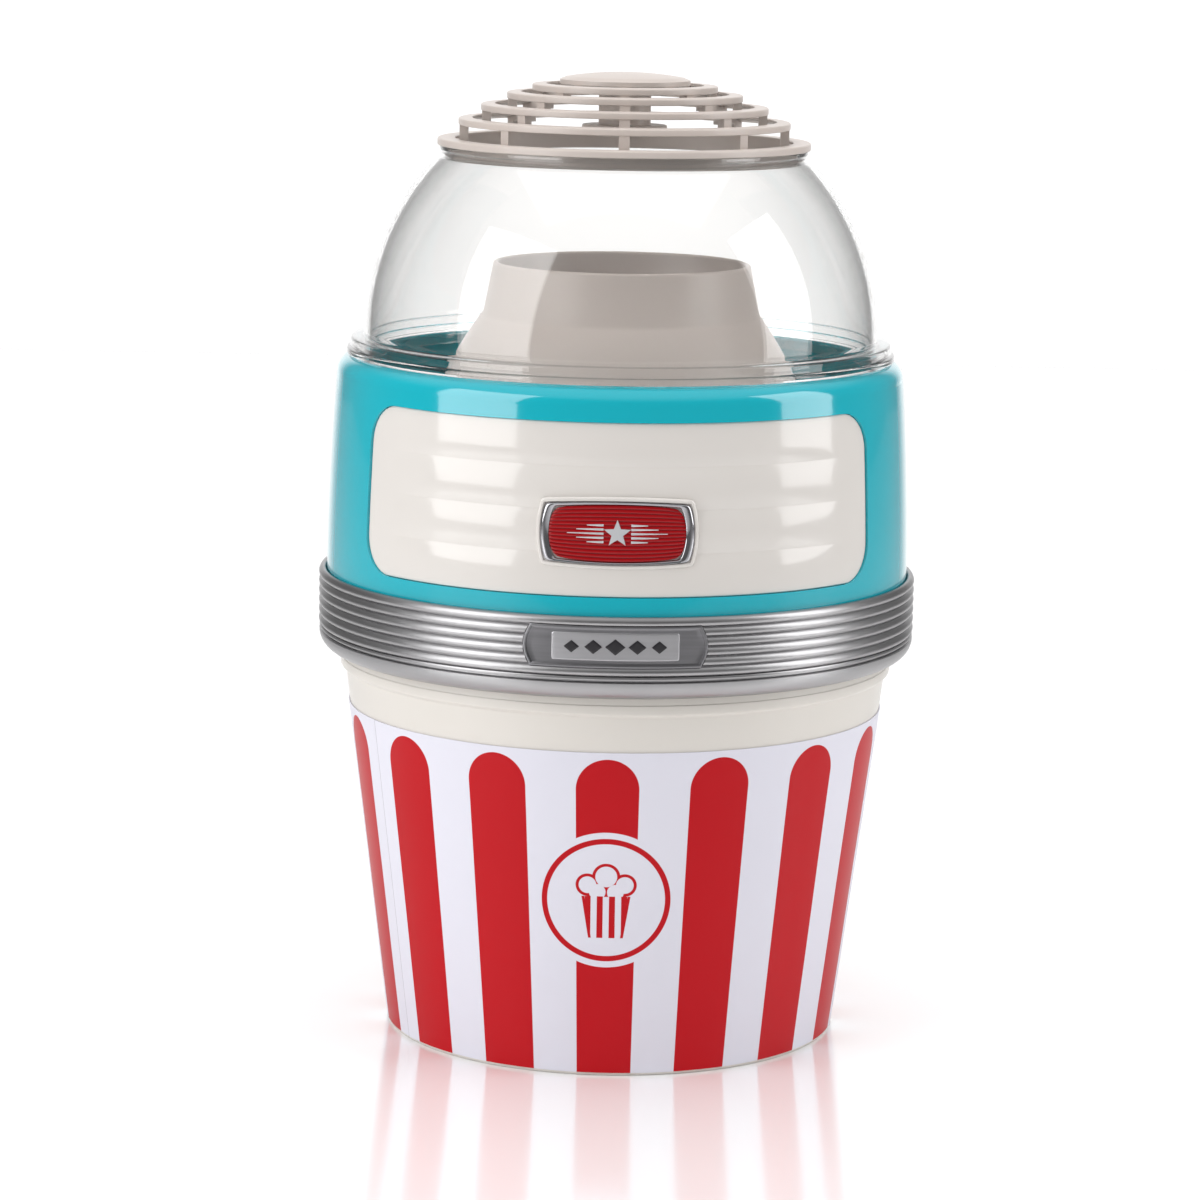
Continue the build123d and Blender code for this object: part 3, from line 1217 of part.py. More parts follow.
def grille_ring(radius):
    """Flat terrace with an upright outer edge and a thin inner edge."""
    top_z = arch_z(radius)
    inner_r = radius - GRILLE_RING_WIDTH
    return turned(
        (radius, top_z - GRILLE_RING_HEIGHT),
        (radius, top_z - 0.4),
        (radius - 0.4, top_z),
        (inner_r, top_z + 0.3),
        (inner_r, top_z - 1.1),
    )


def grille_rib():
    """Stepped web: an upright riser under each terrace and a link back to the next one."""
    base_top_z = DOME_NECK_Z + SEAT_GAP + GRILLE_BASE_THICK
    level_z = base_top_z - GRILLE_RIB_SINK
    upper = [(DOME_NECK_BORE_R - 0.8, level_z)]
    for radius in GRILLE_RINGS + (GRILLE_CAP_R,):
        riser_r = radius - GRILLE_RIB_INSET
        upper.append((riser_r, level_z))
        level_z = arch_z(radius) - GRILLE_RIB_SINK
        upper.append((riser_r, level_z))
    upper.append((GRILLE_BOSS_R / 2, level_z))
    lower = [(r - GRILLE_RIB_WEB, z - GRILLE_RIB_LINK) for r, z in upper[1:-1]]
    first = (upper[0][0], upper[0][1] - GRILLE_RIB_LINK)
    last = (upper[-1][0], upper[-1][1] - GRILLE_RIB_LINK)
    face = Plane.XZ * make_face(Polyline(*upper, last, *reversed(lower), first, close=True))
    return Rot(0, 0, FRONT) * extrude(face, GRILLE_RIB_WIDTH / 2, both=True)


def vent_grille():
    base_z = DOME_NECK_Z + SEAT_GAP
    base_top_z = base_z + GRILLE_BASE_THICK
    skirt_r = DOME_NECK_BORE_R - 0.3
    skirt_bore_r = skirt_r - GRILLE_SKIRT_WALL
    base = turned(
        (skirt_bore_r, GRILLE_SKIRT_Z),
        (skirt_r, GRILLE_SKIRT_Z),
        (skirt_r, base_z),
        (GRILLE_R, base_z),
        (GRILLE_R, base_top_z - 0.5),
        (GRILLE_R - 0.5, base_top_z),
        (skirt_bore_r, base_top_z),
    )
    cap_top = arch_z(0)
    cap_edge = arch_z(GRILLE_CAP_R)
    cap_low_z = cap_edge - GRILLE_RING_HEIGHT
    cap_rise = cap_top - cap_edge
    crown_r = (GRILLE_CAP_R ** 2 + cap_rise ** 2) / (2 * cap_rise)
    cap = turned_edges(
        Line((0, cap_low_z), (GRILLE_CAP_R, cap_low_z)),
        Line((GRILLE_CAP_R, cap_low_z), (GRILLE_CAP_R, cap_edge)),
        bow(0, cap_top - crown_r, crown_r, degrees(acos(GRILLE_CAP_R / crown_r)), 90),
        Line((0, cap_top), (0, cap_low_z)),
    )
    boss = rod(GRILLE_BOSS_R, GRILLE_BOSS_FOOT_Z + 1, cap_low_z + 1)
    foot = rod(GRILLE_BOSS_FOOT_R, GRILLE_BOSS_FOOT_Z, GRILLE_BOSS_FOOT_Z + GRILLE_BOSS_FOOT_THICK)
    rib = grille_rib()
    ribs = [facing(360 / GRILLE_RIBS * index, rib) for index in range(GRILLE_RIBS)]
    rings = [grille_ring(radius) for radius in GRILLE_RINGS]
    grille = cap + boss + foot
    for piece in ribs + rings + [base]:
        grille += piece
    return grille


# ---- every node, in assembly order ----------------------------------------------------
NODES = (
    bucket,
    label_wrap,
    base_ring,
    band,
    nameplate,
    nameplate_inlay,
    upper_housing,
    inner_sleeve,
    front_panel,
    badge_frame,
    badge_plate,
    housing_screws,
    tower_shell,
    tower_base,
    base_screws,
    support_arms,
    wiring_duct,
    tower_screws,
    lug_screws,
    chute,
    popping_chamber,
    heater_shield,
    shield_screws,
    heater_frame,
    heater_coil,
    thermostat,
    thermal_fuse,
    fan_housing,
    fan_screws,
    motor_can,
    motor_screws,
    motor_end_cap,
    motor_bushes,
    motor_magnets,
    motor_brushes,
    motor_shaft,
    armature,
    commutator,
    impeller,
    rectifier_board,
    diodes,
    terminal_block,
    internal_leads,
    switch_body,
    switch_rocker,
    cord_gland,
    dome_lid,
    vent_grille,
)

os.makedirs("parts", exist_ok=True)
for make in NODES:
    shape = make()
    export_step(shape, f"parts/{make.__name__}.step")
    print(f"{make.__name__:18s} solids {len(shape.solids())}  volume {shape.volume:.0f}")
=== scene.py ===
import json
import math

import bmesh
import bpy
import numpy as np
from mathutils import Matrix, Vector


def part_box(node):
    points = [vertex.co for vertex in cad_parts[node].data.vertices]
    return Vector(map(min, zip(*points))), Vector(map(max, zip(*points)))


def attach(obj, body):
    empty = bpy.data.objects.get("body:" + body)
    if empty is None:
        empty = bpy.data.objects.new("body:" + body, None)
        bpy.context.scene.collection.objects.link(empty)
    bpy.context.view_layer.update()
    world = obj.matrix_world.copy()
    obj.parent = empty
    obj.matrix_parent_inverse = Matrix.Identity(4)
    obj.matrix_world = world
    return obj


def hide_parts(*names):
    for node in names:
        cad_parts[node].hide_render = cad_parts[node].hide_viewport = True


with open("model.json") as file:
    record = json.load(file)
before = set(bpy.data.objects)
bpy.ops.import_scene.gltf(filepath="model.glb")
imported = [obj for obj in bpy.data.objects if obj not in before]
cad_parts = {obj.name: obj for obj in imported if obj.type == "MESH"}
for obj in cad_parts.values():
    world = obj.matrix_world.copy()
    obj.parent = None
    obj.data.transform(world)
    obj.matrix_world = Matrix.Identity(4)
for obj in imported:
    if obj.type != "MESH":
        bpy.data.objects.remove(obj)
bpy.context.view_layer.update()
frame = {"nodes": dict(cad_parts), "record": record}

# ==== Camera and studio ================================================================
# A long lens looks slightly down at the front from a little above the dome. The machine
# stands on a glossy white table between two upright softboxes, under a wide one.

CAMERA_DISTANCE = 1.6532
CAMERA_HEIGHT = 0.4595
CAMERA_PITCH = 0.171285
CAMERA_ROLL = 0.0176654
LENS = 123.8

camera_data = bpy.data.cameras.new("product_camera")
camera_data.lens = LENS
camera_data.sensor_width = 36.0
camera_data.shift_x = -0.0135
camera = bpy.data.objects.new("product_camera", camera_data)
bpy.context.scene.collection.objects.link(camera)
camera.matrix_world = (
    Matrix.Translation((0, -CAMERA_DISTANCE, CAMERA_HEIGHT))
    @ Matrix.Rotation(math.pi / 2 - CAMERA_PITCH, 4, "X")
    @ Matrix.Rotation(CAMERA_ROLL, 4, "Z")
)
bpy.context.scene.camera = camera
bpy.context.scene.view_settings.view_transform = "Standard"


def paint(red, green, blue, alpha=1.0):
    """Colour from 0-255 display values, as the linear values that a shader takes."""
    display = np.array([red, green, blue]) / 255
    linear = np.where(display <= 0.04045, display / 12.92, ((display + 0.055) / 1.055) ** 2.4)
    return (*linear.tolist(), alpha)


def softbox(name, place, aim, size, power):
    """Rectangular light at a place, turned towards a point."""
    data = bpy.data.lights.new(name, "AREA")
    data.shape = "RECTANGLE"
    data.size, data.size_y = size
    data.energy = power
    light = bpy.data.objects.new(name, data)
    bpy.context.scene.collection.objects.link(light)
    light.location = place
    direction = light.location - Vector(aim)
    light.rotation_euler = direction.to_track_quat("Z", "Y").to_euler()
    return light


TARGET = (0, 0, 0.2)
softbox("left_softbox", (-1.2, -0.78, 0.72), TARGET, (1.0, 1.3), 13.5)
softbox("right_softbox", (1.37, -0.29, 0.72), TARGET, (0.72, 1.3), 9.5)
top_light = softbox("top_softbox", (0, 0.15, 1.9), (0, 0.1, 0), (2.2, 2.2), 20)
top_light.visible_glossy = False

# The air is white behind the machine and overhead, and grey towards the camera. That gives
# the metal band its middle grey and the clear dome part of its dark edges; painted shade in the dome's
# colour darkens those edges further.
world = bpy.data.worlds.new("studio_air")
world.use_nodes = True
air = world.node_tree
direction = air.nodes.new("ShaderNodeTexCoord")
split = air.nodes.new("ShaderNodeSeparateXYZ")
air.links.new(direction.outputs["Object"], split.inputs[0])
brightest = air.nodes.new("ShaderNodeMath")
brightest.operation = "MAXIMUM"
for slot, (axis, dark_until, white_from, dim, bright) in enumerate(
    (("Y", 0.84, 0.97, 0.2, 1.12), ("Z", 0.4, 0.85, 0.2, 0.8))
):
    fall = air.nodes.new("ShaderNodeMapRange")
    fall.interpolation_type = "SMOOTHSTEP"
    fall.inputs["From Min"].default_value = dark_until
    fall.inputs["From Max"].default_value = white_from
    fall.inputs["To Min"].default_value = dim
    fall.inputs["To Max"].default_value = bright
    air.links.new(split.outputs[axis], fall.inputs["Value"])
    air.links.new(fall.outputs[0], brightest.inputs[slot])
air.links.new(brightest.outputs[0], air.nodes["Background"].inputs["Strength"])
air.nodes["Background"].inputs["Color"].default_value = (1, 1, 1, 1)
bpy.context.scene.world = world

TABLE_HALF_W = 2.5
TABLE_FRONT_Y = -1.3
TABLE_BACK_Y = 2.4
table_corners = [
    (-TABLE_HALF_W, TABLE_FRONT_Y, 0),
    (TABLE_HALF_W, TABLE_FRONT_Y, 0),
    (TABLE_HALF_W, TABLE_BACK_Y, 0),
    (-TABLE_HALF_W, TABLE_BACK_Y, 0),
]
table_mesh = bpy.data.meshes.new("table")
table_mesh.from_pydata(table_corners, [], [(0, 1, 2, 3)])
table = bpy.data.objects.new("table", table_mesh)
bpy.context.scene.collection.objects.link(table)
table_finish = bpy.data.materials.new("glossy_white_table")
table_finish.use_nodes = True
table_surface = table_finish.node_tree.nodes["Principled BSDF"]
table_surface.inputs["Base Color"].default_value = (0.93, 0.93, 0.93, 1)
table_surface.inputs["Emission Color"].default_value = (1, 1, 1, 1)
table_surface.inputs["Emission Strength"].default_value = 0.05
table_surface.inputs["Roughness"].default_value = 0.2
table_surface.inputs["Coat Weight"].default_value = 1.0
table_surface.inputs["Coat Roughness"].default_value = 0.12
table_mesh.materials.append(table_finish)


# ==== Bucket ===========================================================================
# The tub that catches the popcorn: one thin injection moulding in cream polypropylene,
# tapered so that it drops out of its tool, with a thick collar where the machine sits.

MM = 0.001
TURNS = 288                 # columns round a full turn


class Value:
    """A shader value. Arithmetic on it adds Math nodes to its finish."""

    def __init__(self, finish, socket):
        self.finish = finish
        self.socket = socket

    def _math(self, operation, *values):
        inputs = dict(enumerate(values))
        return self.finish.node("Math", {"operation": operation}, inputs)[0]

    def __add__(self, other):
        return self._math("ADD", self, other)

    def __sub__(self, other):
        return self._math("SUBTRACT", self, other)

    def __rsub__(self, other):
        return self._math("SUBTRACT", other, self)

    def __mul__(self, other):
        return self._math("MULTIPLY", self, other)

    def __truediv__(self, other):
        return self._math("DIVIDE", self, other)

    __radd__ = __add__
    __rmul__ = __mul__

    def apply(self, operation, *others):
        return self._math(operation, self, *others)


class Finish:
    """A material being put together round its Principled surface."""

    def __init__(self, name, **sockets):
        self.material = bpy.data.materials.new(name)
        self.material.use_nodes = True
        self.tree = self.material.node_tree
        self.surface = self.tree.nodes["Principled BSDF"]
        for label, value in sockets.items():
            self.set(label.replace("_", " "), value)

    def plug(self, socket, value):
        if isinstance(value, Value):
            self.tree.links.new(value.socket, socket)
        else:
            socket.default_value = value

    def set(self, label, value):
        self.plug(self.surface.inputs[label], value)

    def node(self, kind, settings=None, inputs=None):
        """Add a node: its settings first, then its sockets. Gives its outputs as values."""
        node = self.tree.nodes.new("ShaderNode" + kind)
        for key, value in (settings or {}).items():
            setattr(node, key, value)
        for key, value in (inputs or {}).items():
            self.plug(node.inputs[key], value)
        return [Value(self, socket) for socket in node.outputs if socket.enabled]

    def place(self):
        """x, y and z in millimetres."""
        position = self.node("TexCoord")[3]
        parts = self.node("SeparateXYZ", None, {0: position})
        return [part * 1000 for part in parts]

    def position(self, stretch=(1, 1, 1)):
        """Object coordinates, stretched along each axis."""
        position = self.node("TexCoord")[3]
        return self.node("Mapping", None, {"Vector": position, "Scale": stretch})[0]

    def noise(self, scale, detail=3.0, stretch=(1, 1, 1)):
        inputs = {"Vector": self.position(stretch), "Scale": scale, "Detail": detail}
        return self.node("TexNoise", None, inputs)[0]

    def mix(self, factor, low, high):
        settings = {"data_type": "RGBA"}
        return self.node("Mix", settings, {0: factor, 6: low, 7: high})[0]

    def bump(self, height, depth_mm):
        inputs = {"Strength": 1.0, "Distance": depth_mm * MM, "Height": height}
        self.set("Normal", self.node("Bump", None, inputs)[0])


def moulded(name, colour, roughness=0.2, peel=0.02, shift=0.03, grain=900.0, **sockets):
    """Moulded plastic: faint cloudiness in the colour, uneven gloss and a fine skin."""
    finish = Finish(name, **sockets)
    cloud = finish.noise(14.0, 2.0)
    darker = tuple(part * (1 - shift) for part in colour[:3]) + (1.0,)
    lighter = tuple(min(1.0, part * (1 + shift)) for part in colour[:3]) + (1.0,)
    finish.set("Base Color", finish.mix(cloud, darker, lighter))
    finish.set("Roughness", roughness + (finish.noise(60.0, 4.0) - 0.5) * (0.35 * roughness))
    finish.bump(finish.noise(grain, 2.0), peel)
    return finish


def rounded(corners, steps=5):
    """Closed outline from (x, y, round) corners. Each corner c becomes the curve
    (1-t)^2 a + 2t(1-t) c + t^2 b, where a and b lie `round` before and after it."""
    table_of_corners = np.array(corners, float)
    here = table_of_corners[:, :2]
    size = table_of_corners[:, 2:]

    def cut(edge):
        length = np.linalg.norm(edge, axis=1, keepdims=True)
        return here + edge / length * np.minimum(size, 0.45 * length)

    before = cut(np.roll(here, 1, 0) - here)[:, None]
    after = cut(np.roll(here, -1, 0) - here)[:, None]
    t = np.linspace(0, 1, steps + 1)[None, :, None]
    curve = (1 - t) ** 2 * before + 2 * t * (1 - t) * here[:, None] + t ** 2 * after
    return curve.reshape(-1, 2)


def ring_points(radius, height, angle):
    """Points at a radius, a height and an angle from the front, all broadcast together:
    x = r sin a, y = -r cos a, z."""
    radius, height, angle = np.broadcast_arrays(radius, height, angle)
    return np.stack([radius * np.sin(angle), -radius * np.cos(angle), height], -1)


def quads(rows, columns, close_rows=True, close_columns=True):
    """Corner numbers of every cell of a grid, closed on itself or open each way."""
    i, j = np.meshgrid(
        np.arange(rows - (not close_rows)), np.arange(columns - (not close_columns)), indexing="ij"
    )
    below = (i + 1) % rows
    beside = (j + 1) % columns
    cells = [i * columns + j, below * columns + j, below * columns + beside, i * columns + beside]
    return np.stack(cells, -1).reshape(-1, 4)


def lathe(outline, turns=TURNS):
    """Solid of revolution of a closed (radius, height) outline."""
    angle = np.linspace(0, 2 * np.pi, turns, endpoint=False)[None, :]
    points = ring_points(outline[:, :1], outline[:, 1:], angle)
    return points.reshape(-1, 3), quads(len(outline), turns)


def publish(name, shells, finish, body, stands_for=(), sharp=38.0):
    """Join shells of (points, faces) into one piece with outward faces and crisp edges
    only where two faces meet at more than the sharp angle."""
    points = []
    faces = []
    start = 0
    for shell_points, shell_faces in shells:
        points.append(shell_points * MM)
        faces.append(shell_faces + start)
        start += len(shell_points)
    mesh = bpy.data.meshes.new(name)
    mesh.from_pydata(np.concatenate(points), [], np.concatenate(faces).tolist())
    shell = bmesh.new()
    shell.from_mesh(mesh)
    bmesh.ops.remove_doubles(shell, verts=shell.verts, dist=2e-6)
    bmesh.ops.dissolve_degenerate(shell, edges=shell.edges, dist=1e-6)
    bmesh.ops.recalc_face_normals(shell, faces=shell.faces)
    shell.to_mesh(mesh)
    shell.free()
    mesh.polygons.foreach_set("use_smooth", np.ones(len(mesh.polygons), bool))
    mesh.set_sharp_from_angle(angle=math.radians(sharp))
    mesh.materials.append(finish.material)
    piece = bpy.data.objects.new(name, mesh)
    bpy.context.scene.collection.objects.link(piece)
    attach(piece, body)
    if stands_for:
        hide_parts(*stands_for)
    return piece


def span(node):
    """Largest radius, lowest z and highest z of a CAD node, in millimetres."""
    low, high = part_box(node)
    return max(-low.x, high.x) / MM, low.z / MM, high.z / MM


BUCKET_TAPER = 0.1265
BUCKET_WALL = 2.0
FOOT_RISE = 3.0             # the floor is held this far off the table
FOOT_WIDTH = 5.0
FLOOR_TOP_Z = 6.0
COLLAR_STEP = 13.0          # the collar is this tall
COLLAR_WALL = 4.0
rim_r, _, rim_z = span("bucket")
label_r, label_low_z, label_top_z = span("label_wrap")
foot_r = label_r - 0.45 - BUCKET_TAPER * label_top_z


def tub_r(height):
    """Outer radius of the tapered wall."""
    return foot_r + BUCKET_TAPER * height


step_z = rim_z - COLLAR_STEP
bucket_outline = rounded(
    [
        (0.0, FOOT_RISE, 0),
        (foot_r - FOOT_WIDTH, FOOT_RISE, 1),
        (foot_r - FOOT_WIDTH, 0.0, 0.6),
        (foot_r, 0.0, 0.8),
        (tub_r(step_z), step_z, 0.8),
        (rim_r, step_z + 1.0, 0.7),
        (rim_r, step_z + 4.6, 0.2),
        (rim_r - 0.35, step_z + 4.9, 0.2),
        (rim_r - 0.35, rim_z, 1.2),
        (rim_r - COLLAR_WALL, rim_z, 1.2),
        (tub_r(step_z) - BUCKET_WALL, step_z, 1.0),
        (tub_r(FLOOR_TOP_Z) - BUCKET_WALL, FLOOR_TOP_Z, 3.0),
        (0.0, FLOOR_TOP_Z, 0),
    ]
)
cream_tub = moulded(
    "cream_tub", paint(224, 219, 212), roughness=0.3, peel=0.002, shift=0.01, grain=500.0
)
publish("bucket_tub", [lathe(bucket_outline)], cream_tub, "bucket", ["bucket"])


# ==== Label ============================================================================
# A strip of coated paper, printed with round-topped red stripes and a ringed emblem,
# wrapped round the tub and glued where its ends overlap at the left.

LABEL_THICK = 0.4
LABEL_COLUMNS = 720
OVERLAP_ANGLE = 0.12        # the glued overlap fades out over this angle
OVERLAP_RISE = 0.25
STRIPES = 15
STRIPE_HALF_ANGLE = math.radians(6.6)
STRIPE_TOP_Z = 130.1
STRIPE_SHIFT = math.radians(-1.1)
SEAM_ANGLE = math.radians(-61.0)
EMBLEM_Z = 73.0
EMBLEM_CLEAR_R = 27.6
EMBLEM_RING_R = 24.0
EMBLEM_RING_WIDTH = 2.2

label_angle = np.linspace(0, 2 * np.pi, LABEL_COLUMNS, endpoint=False)[None, :]
label_rows = np.linspace(0, 1, 40)
up_and_down = np.concatenate([label_rows, label_rows[::-1]])[:, None]
label_z = label_low_z + (label_top_z - label_low_z) * up_and_down
label_side = np.repeat([LABEL_THICK, 0.0], len(label_rows))[:, None]
past_seam = np.mod(label_angle - SEAM_ANGLE, 2 * np.pi)
overlap = np.where(past_seam < OVERLAP_ANGLE, OVERLAP_RISE * (1 - past_seam / OVERLAP_ANGLE), 0.0)
ripple = 0.05 * np.sin(5 * label_angle + 0.04 * label_z) * np.sin(label_z / 21.0)
outside_lift = np.where(label_side > 0, overlap + 0.05 + ripple, 0.0)
label_radius = tub_r(label_z) + 0.08 + label_side + outside_lift
label_points = ring_points(label_radius, label_z, label_angle)

print_finish = Finish("printed_paper", Roughness=0.42, Specular_IOR_Level=0.2)
x, y, z = print_finish.place()
angle = x.apply("ARCTAN2", y * -1)
pitch = 2 * math.pi / STRIPES
turned_angle = angle - STRIPE_SHIFT + math.pi / STRIPES + 2 * math.pi
across = turned_angle.apply("MODULO", pitch) - pitch / 2
wall_r = foot_r + z * BUCKET_TAPER
across_mm = (across * wall_r).apply("ABSOLUTE")
half_mm = wall_r * STRIPE_HALF_ANGLE
above = (z - (STRIPE_TOP_Z - STRIPE_HALF_ANGLE * tub_r(STRIPE_TOP_Z))).apply("MAXIMUM", 0.0)
reach = (across_mm * across_mm + above * above).apply("SQRT")
stripe = half_mm - reach

front_mm = (angle - STRIPE_SHIFT) * wall_r
rise = z - EMBLEM_Z
centre_r = (front_mm * front_mm + rise * rise).apply("SQRT")
clear_disc = centre_r - EMBLEM_CLEAR_R
ring = EMBLEM_RING_WIDTH / 2 - (centre_r - EMBLEM_RING_R).apply("ABSOLUTE")


def inked(distance):
    """1 where a distance in millimetres is positive, with a soft 0.15 mm edge."""
    return print_finish.node(
        "MapRange", None, {"Value": distance, "From Min": -0.08, "From Max": 0.08}
    )[0]


def disc(centre_x, centre_z, radius):
    """Distance inside a circle on the label, in millimetres."""
    dx = front_mm - centre_x
    dz = rise - centre_z
    return radius - (dx * dx + dz * dz).apply("SQRT")


def either(first, second):
    return first.apply("MAXIMUM", second)


def both(first, second):
    return first.apply("MINIMUM", second)


# The pictogram: a little striped tub with a heap of round puffs over it.
PUFFS = ((0.0, 9.6, 5.4), (-7.2, 6.2, 4.6), (7.2, 6.2, 4.6), (-3.4, 3.4, 4.4), (3.6, 3.2, 4.4))
PUFF_LINE = 1.2


def heap(inset):
    """Distance inside the heap of puffs, each one smaller by the inset."""
    shape = None
    for puff_x, puff_z, puff_r in PUFFS:
        puff = disc(puff_x, puff_z, puff_r - inset)
        shape = either(shape, puff) if shape else puff
    return shape


tub_half = 9.2 + rise * 0.16
tub_side = tub_half - front_mm.apply("ABSOLUTE")
tub_body = both(both(tub_side, rise + 15.5), 1.6 - rise)
tub_stripe = (front_mm / 2.35 + 0.5 + 20.0).apply("MODULO", 2.0) - 1.0
tub_ink = both(tub_body, either(tub_stripe * 2.35, 1.1 - tub_side))
puff_ink = both(both(heap(0.0), heap(PUFF_LINE) * -1), rise - 1.4)
mark = either(either(tub_ink, puff_ink), ring)

stripe_ink = inked(both(stripe, clear_disc))
mark_ink = inked(both(mark, clear_disc * -1))
ink = stripe_ink.apply("MAXIMUM", mark_ink)
paper_shade = print_finish.noise(9.0, 3.0)
paper = print_finish.mix(paper_shade, paint(225, 224, 235), paint(231, 230, 240))
red_shade = print_finish.noise(7.0, 2.0)
red = print_finish.mix(red_shade, paint(184, 0, 14), paint(198, 2, 22))
# Painted shadow: a thin dark grey line along the edge of the glued overlap, where the lapped paper casts
# its shadow.
seam_mm = (angle - SEAM_ANGLE) * wall_r
seam_painted_shadow = 1.0 - (seam_mm / 0.35).apply("ABSOLUTE").apply("MINIMUM", 1.0)
printed = print_finish.mix(ink, paper, red)
print_finish.set("Base Color", print_finish.mix(seam_painted_shadow * 0.6, printed, paint(120, 112, 118)))
print_finish.set("Roughness", 0.42 - ink * 0.1)
print_finish.bump(print_finish.noise(1500.0, 3.0, (1, 1, 0.6)), 0.012)
publish(
    "label_paper",
    [(label_points.reshape(-1, 3), quads(len(label_z), label_angle.shape[1]))],
    print_finish,
    "bucket",
    ["label_wrap"],
)


# ==== Trim band and nameplate ==========================================================
# A moulded ring with a satin metal coat: a rolled lower edge and six saw-tooth ribs. A
# plate with bracket-shaped ends sits in a recess at the front and holds a pale strip.



def front_span(node):
    """Half width, lowest z and highest z of a CAD node on the front, in millimetres."""
    low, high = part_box(node)
    return high.x / MM, low.z / MM, high.z / MM


BAND_ROLL_R = 7.0
BAND_SKIRT_WALL = 0.9
RIB_START = 9.6             # above the band's lower edge
RIB_COUNT = 6
RIB_DEPTH = 1.3
PLATE_DEPTH = 1.7
PLATE_RIM = 1.3
PLATE_END_BOW = 1.5
PLATE_CHAMFER = 2.4
band_r, band_low_z, band_top_z = span("band")
plate_half_w, plate_low_z, plate_top_z = front_span("nameplate")
plate_middle_z = (plate_low_z + plate_top_z) / 2


def plate_reach(height, grow=0.0):
    """Half width of the plate's outline at a height: a chamfered corner, then a bow."""
    half_h = (plate_top_z - plate_low_z) / 2 + grow
    level = np.clip(np.abs(height - plate_middle_z), 0, half_h)
    straight = half_h - PLATE_CHAMFER
    bowed = plate_half_w + grow - PLATE_END_BOW * (np.minimum(level, straight) / straight) ** 2
    corner = np.clip(level - straight, 0, None) * 0.5
    return bowed - corner


def rib_line(start_z, end_z, count, steps=9):
    """Saw-tooth ribs: each tooth swells by sin(pi u^0.8) between two sharp grooves."""
    u = np.linspace(0, 1, steps)
    pitch_z = (end_z - start_z) / count
    rows = []
    for index in range(count):
        swell = RIB_DEPTH * np.sin(np.pi * u ** 0.8) ** 0.7
        rows.append(np.stack([band_r - RIB_DEPTH + swell, start_z + (index + u) * pitch_z], 1))
    return np.concatenate(rows)


roll_angle = np.linspace(-np.pi / 2, 0, 12)
roll_centre_r = band_r - 0.2 - BAND_ROLL_R
roll_centre_z = band_low_z + BAND_ROLL_R
roll = BAND_ROLL_R * np.stack([np.cos(roll_angle), np.sin(roll_angle)], 1)
roll = roll + (roll_centre_r, roll_centre_z)
bead = np.array(
    [
        (band_r - 0.5, roll_centre_z + 0.25),
        (band_r - RIB_DEPTH - 0.2, roll_centre_z + 0.6),
        (band_r - RIB_DEPTH - 0.2, roll_centre_z + 1.0),
        (band_r - 0.5, roll_centre_z + 1.25),
        (band_r - 0.3, roll_centre_z + 1.7),
        (band_r - 0.6, band_low_z + RIB_START - 0.2),
    ]
)
ribs = rib_line(band_low_z + RIB_START, band_top_z, RIB_COUNT)
band_outside = np.concatenate([roll, bead, ribs])
band_inside = np.array(
    [
        (band_r - 2.2, band_top_z),
        (band_r - 2.8, band_top_z - 0.6),
        (band_r - 2.8, band_low_z + 11.2),
        (band_r - 14.0, band_low_z + 11.2),
        (band_r - 14.0, band_low_z + 9.3),
        (roll_centre_r - BAND_SKIRT_WALL, band_low_z + 9.2),
        (roll_centre_r - BAND_SKIRT_WALL, band_low_z),
    ]
)


def recessed_lathe(outside, inside, low_z, top_z, floor_r, reach_at, inner_columns, outer_columns):
    """A lathe with a window sunk into its front. Grid lines follow the window's outline,
    so angle = reach(z) / r at its ends, and rows are doubled at its low and top edges."""
    z_rows = outside[:, 1]
    radius_low = np.interp(low_z, z_rows, outside[:, 0])
    radius_top = np.interp(top_z, z_rows, outside[:, 0])
    within = (z_rows > low_z) & (z_rows < top_z)
    before = z_rows <= low_z
    after = z_rows >= top_z
    edges_low = [(radius_low, low_z)] * 2
    edges_top = [(radius_top, top_z)] * 2
    rows = np.concatenate(
        [outside[before], edges_low, outside[within], edges_top, outside[after], inside]
    )
    sunk = np.zeros(len(rows), bool)
    start = before.sum() + 1
    sunk[start:start + within.sum() + 2] = True
    radius = rows[:, :1]
    height = rows[:, 1:]
    half = reach_at(np.clip(height, low_z, top_z)) / band_r
    u_in = np.linspace(-1, 1, inner_columns)[None, :]
    u_out = np.linspace(0, 1, outer_columns)[None, :]
    angle_in = half * u_in
    angle_out = half + (2 * np.pi - 2 * half) * u_out
    floor = floor_r(height)
    radius_in = np.where(sunk[:, None], floor, radius) + 0 * angle_in
    radius_out = radius + 0 * angle_out
    points = ring_points(
        np.concatenate([radius_in, radius_out], 1), height, np.concatenate([angle_in, angle_out], 1)
    )
    return points.reshape(-1, 3), quads(len(rows), inner_columns + outer_columns)


PLATE_GAP = 0.15
band_shell = recessed_lathe(
    band_outside,
    band_inside,
    plate_low_z - PLATE_GAP,
    plate_top_z + PLATE_GAP,
    lambda height: band_r - PLATE_DEPTH - 0.1 + 0 * height,
    lambda height: plate_reach(height, PLATE_GAP),
    40,
    TURNS,
)
satin_metal = Finish("satin_metal_coat", Metallic=1.0)
metal_cloud = satin_metal.noise(25.0, 3.0)
satin_metal.set(
    "Base Color", satin_metal.mix(metal_cloud, paint(158, 157, 159), paint(174, 173, 174))
)
satin_metal.set("Roughness", 0.27 + satin_metal.noise(120.0, 3.0, (1, 1, 8)) * 0.1)
satin_metal.bump(satin_metal.noise(700.0, 2.0, (1, 1, 6)), 0.01)
publish("trim_band", [band_shell], satin_metal, "machine", ["band"], sharp=50)


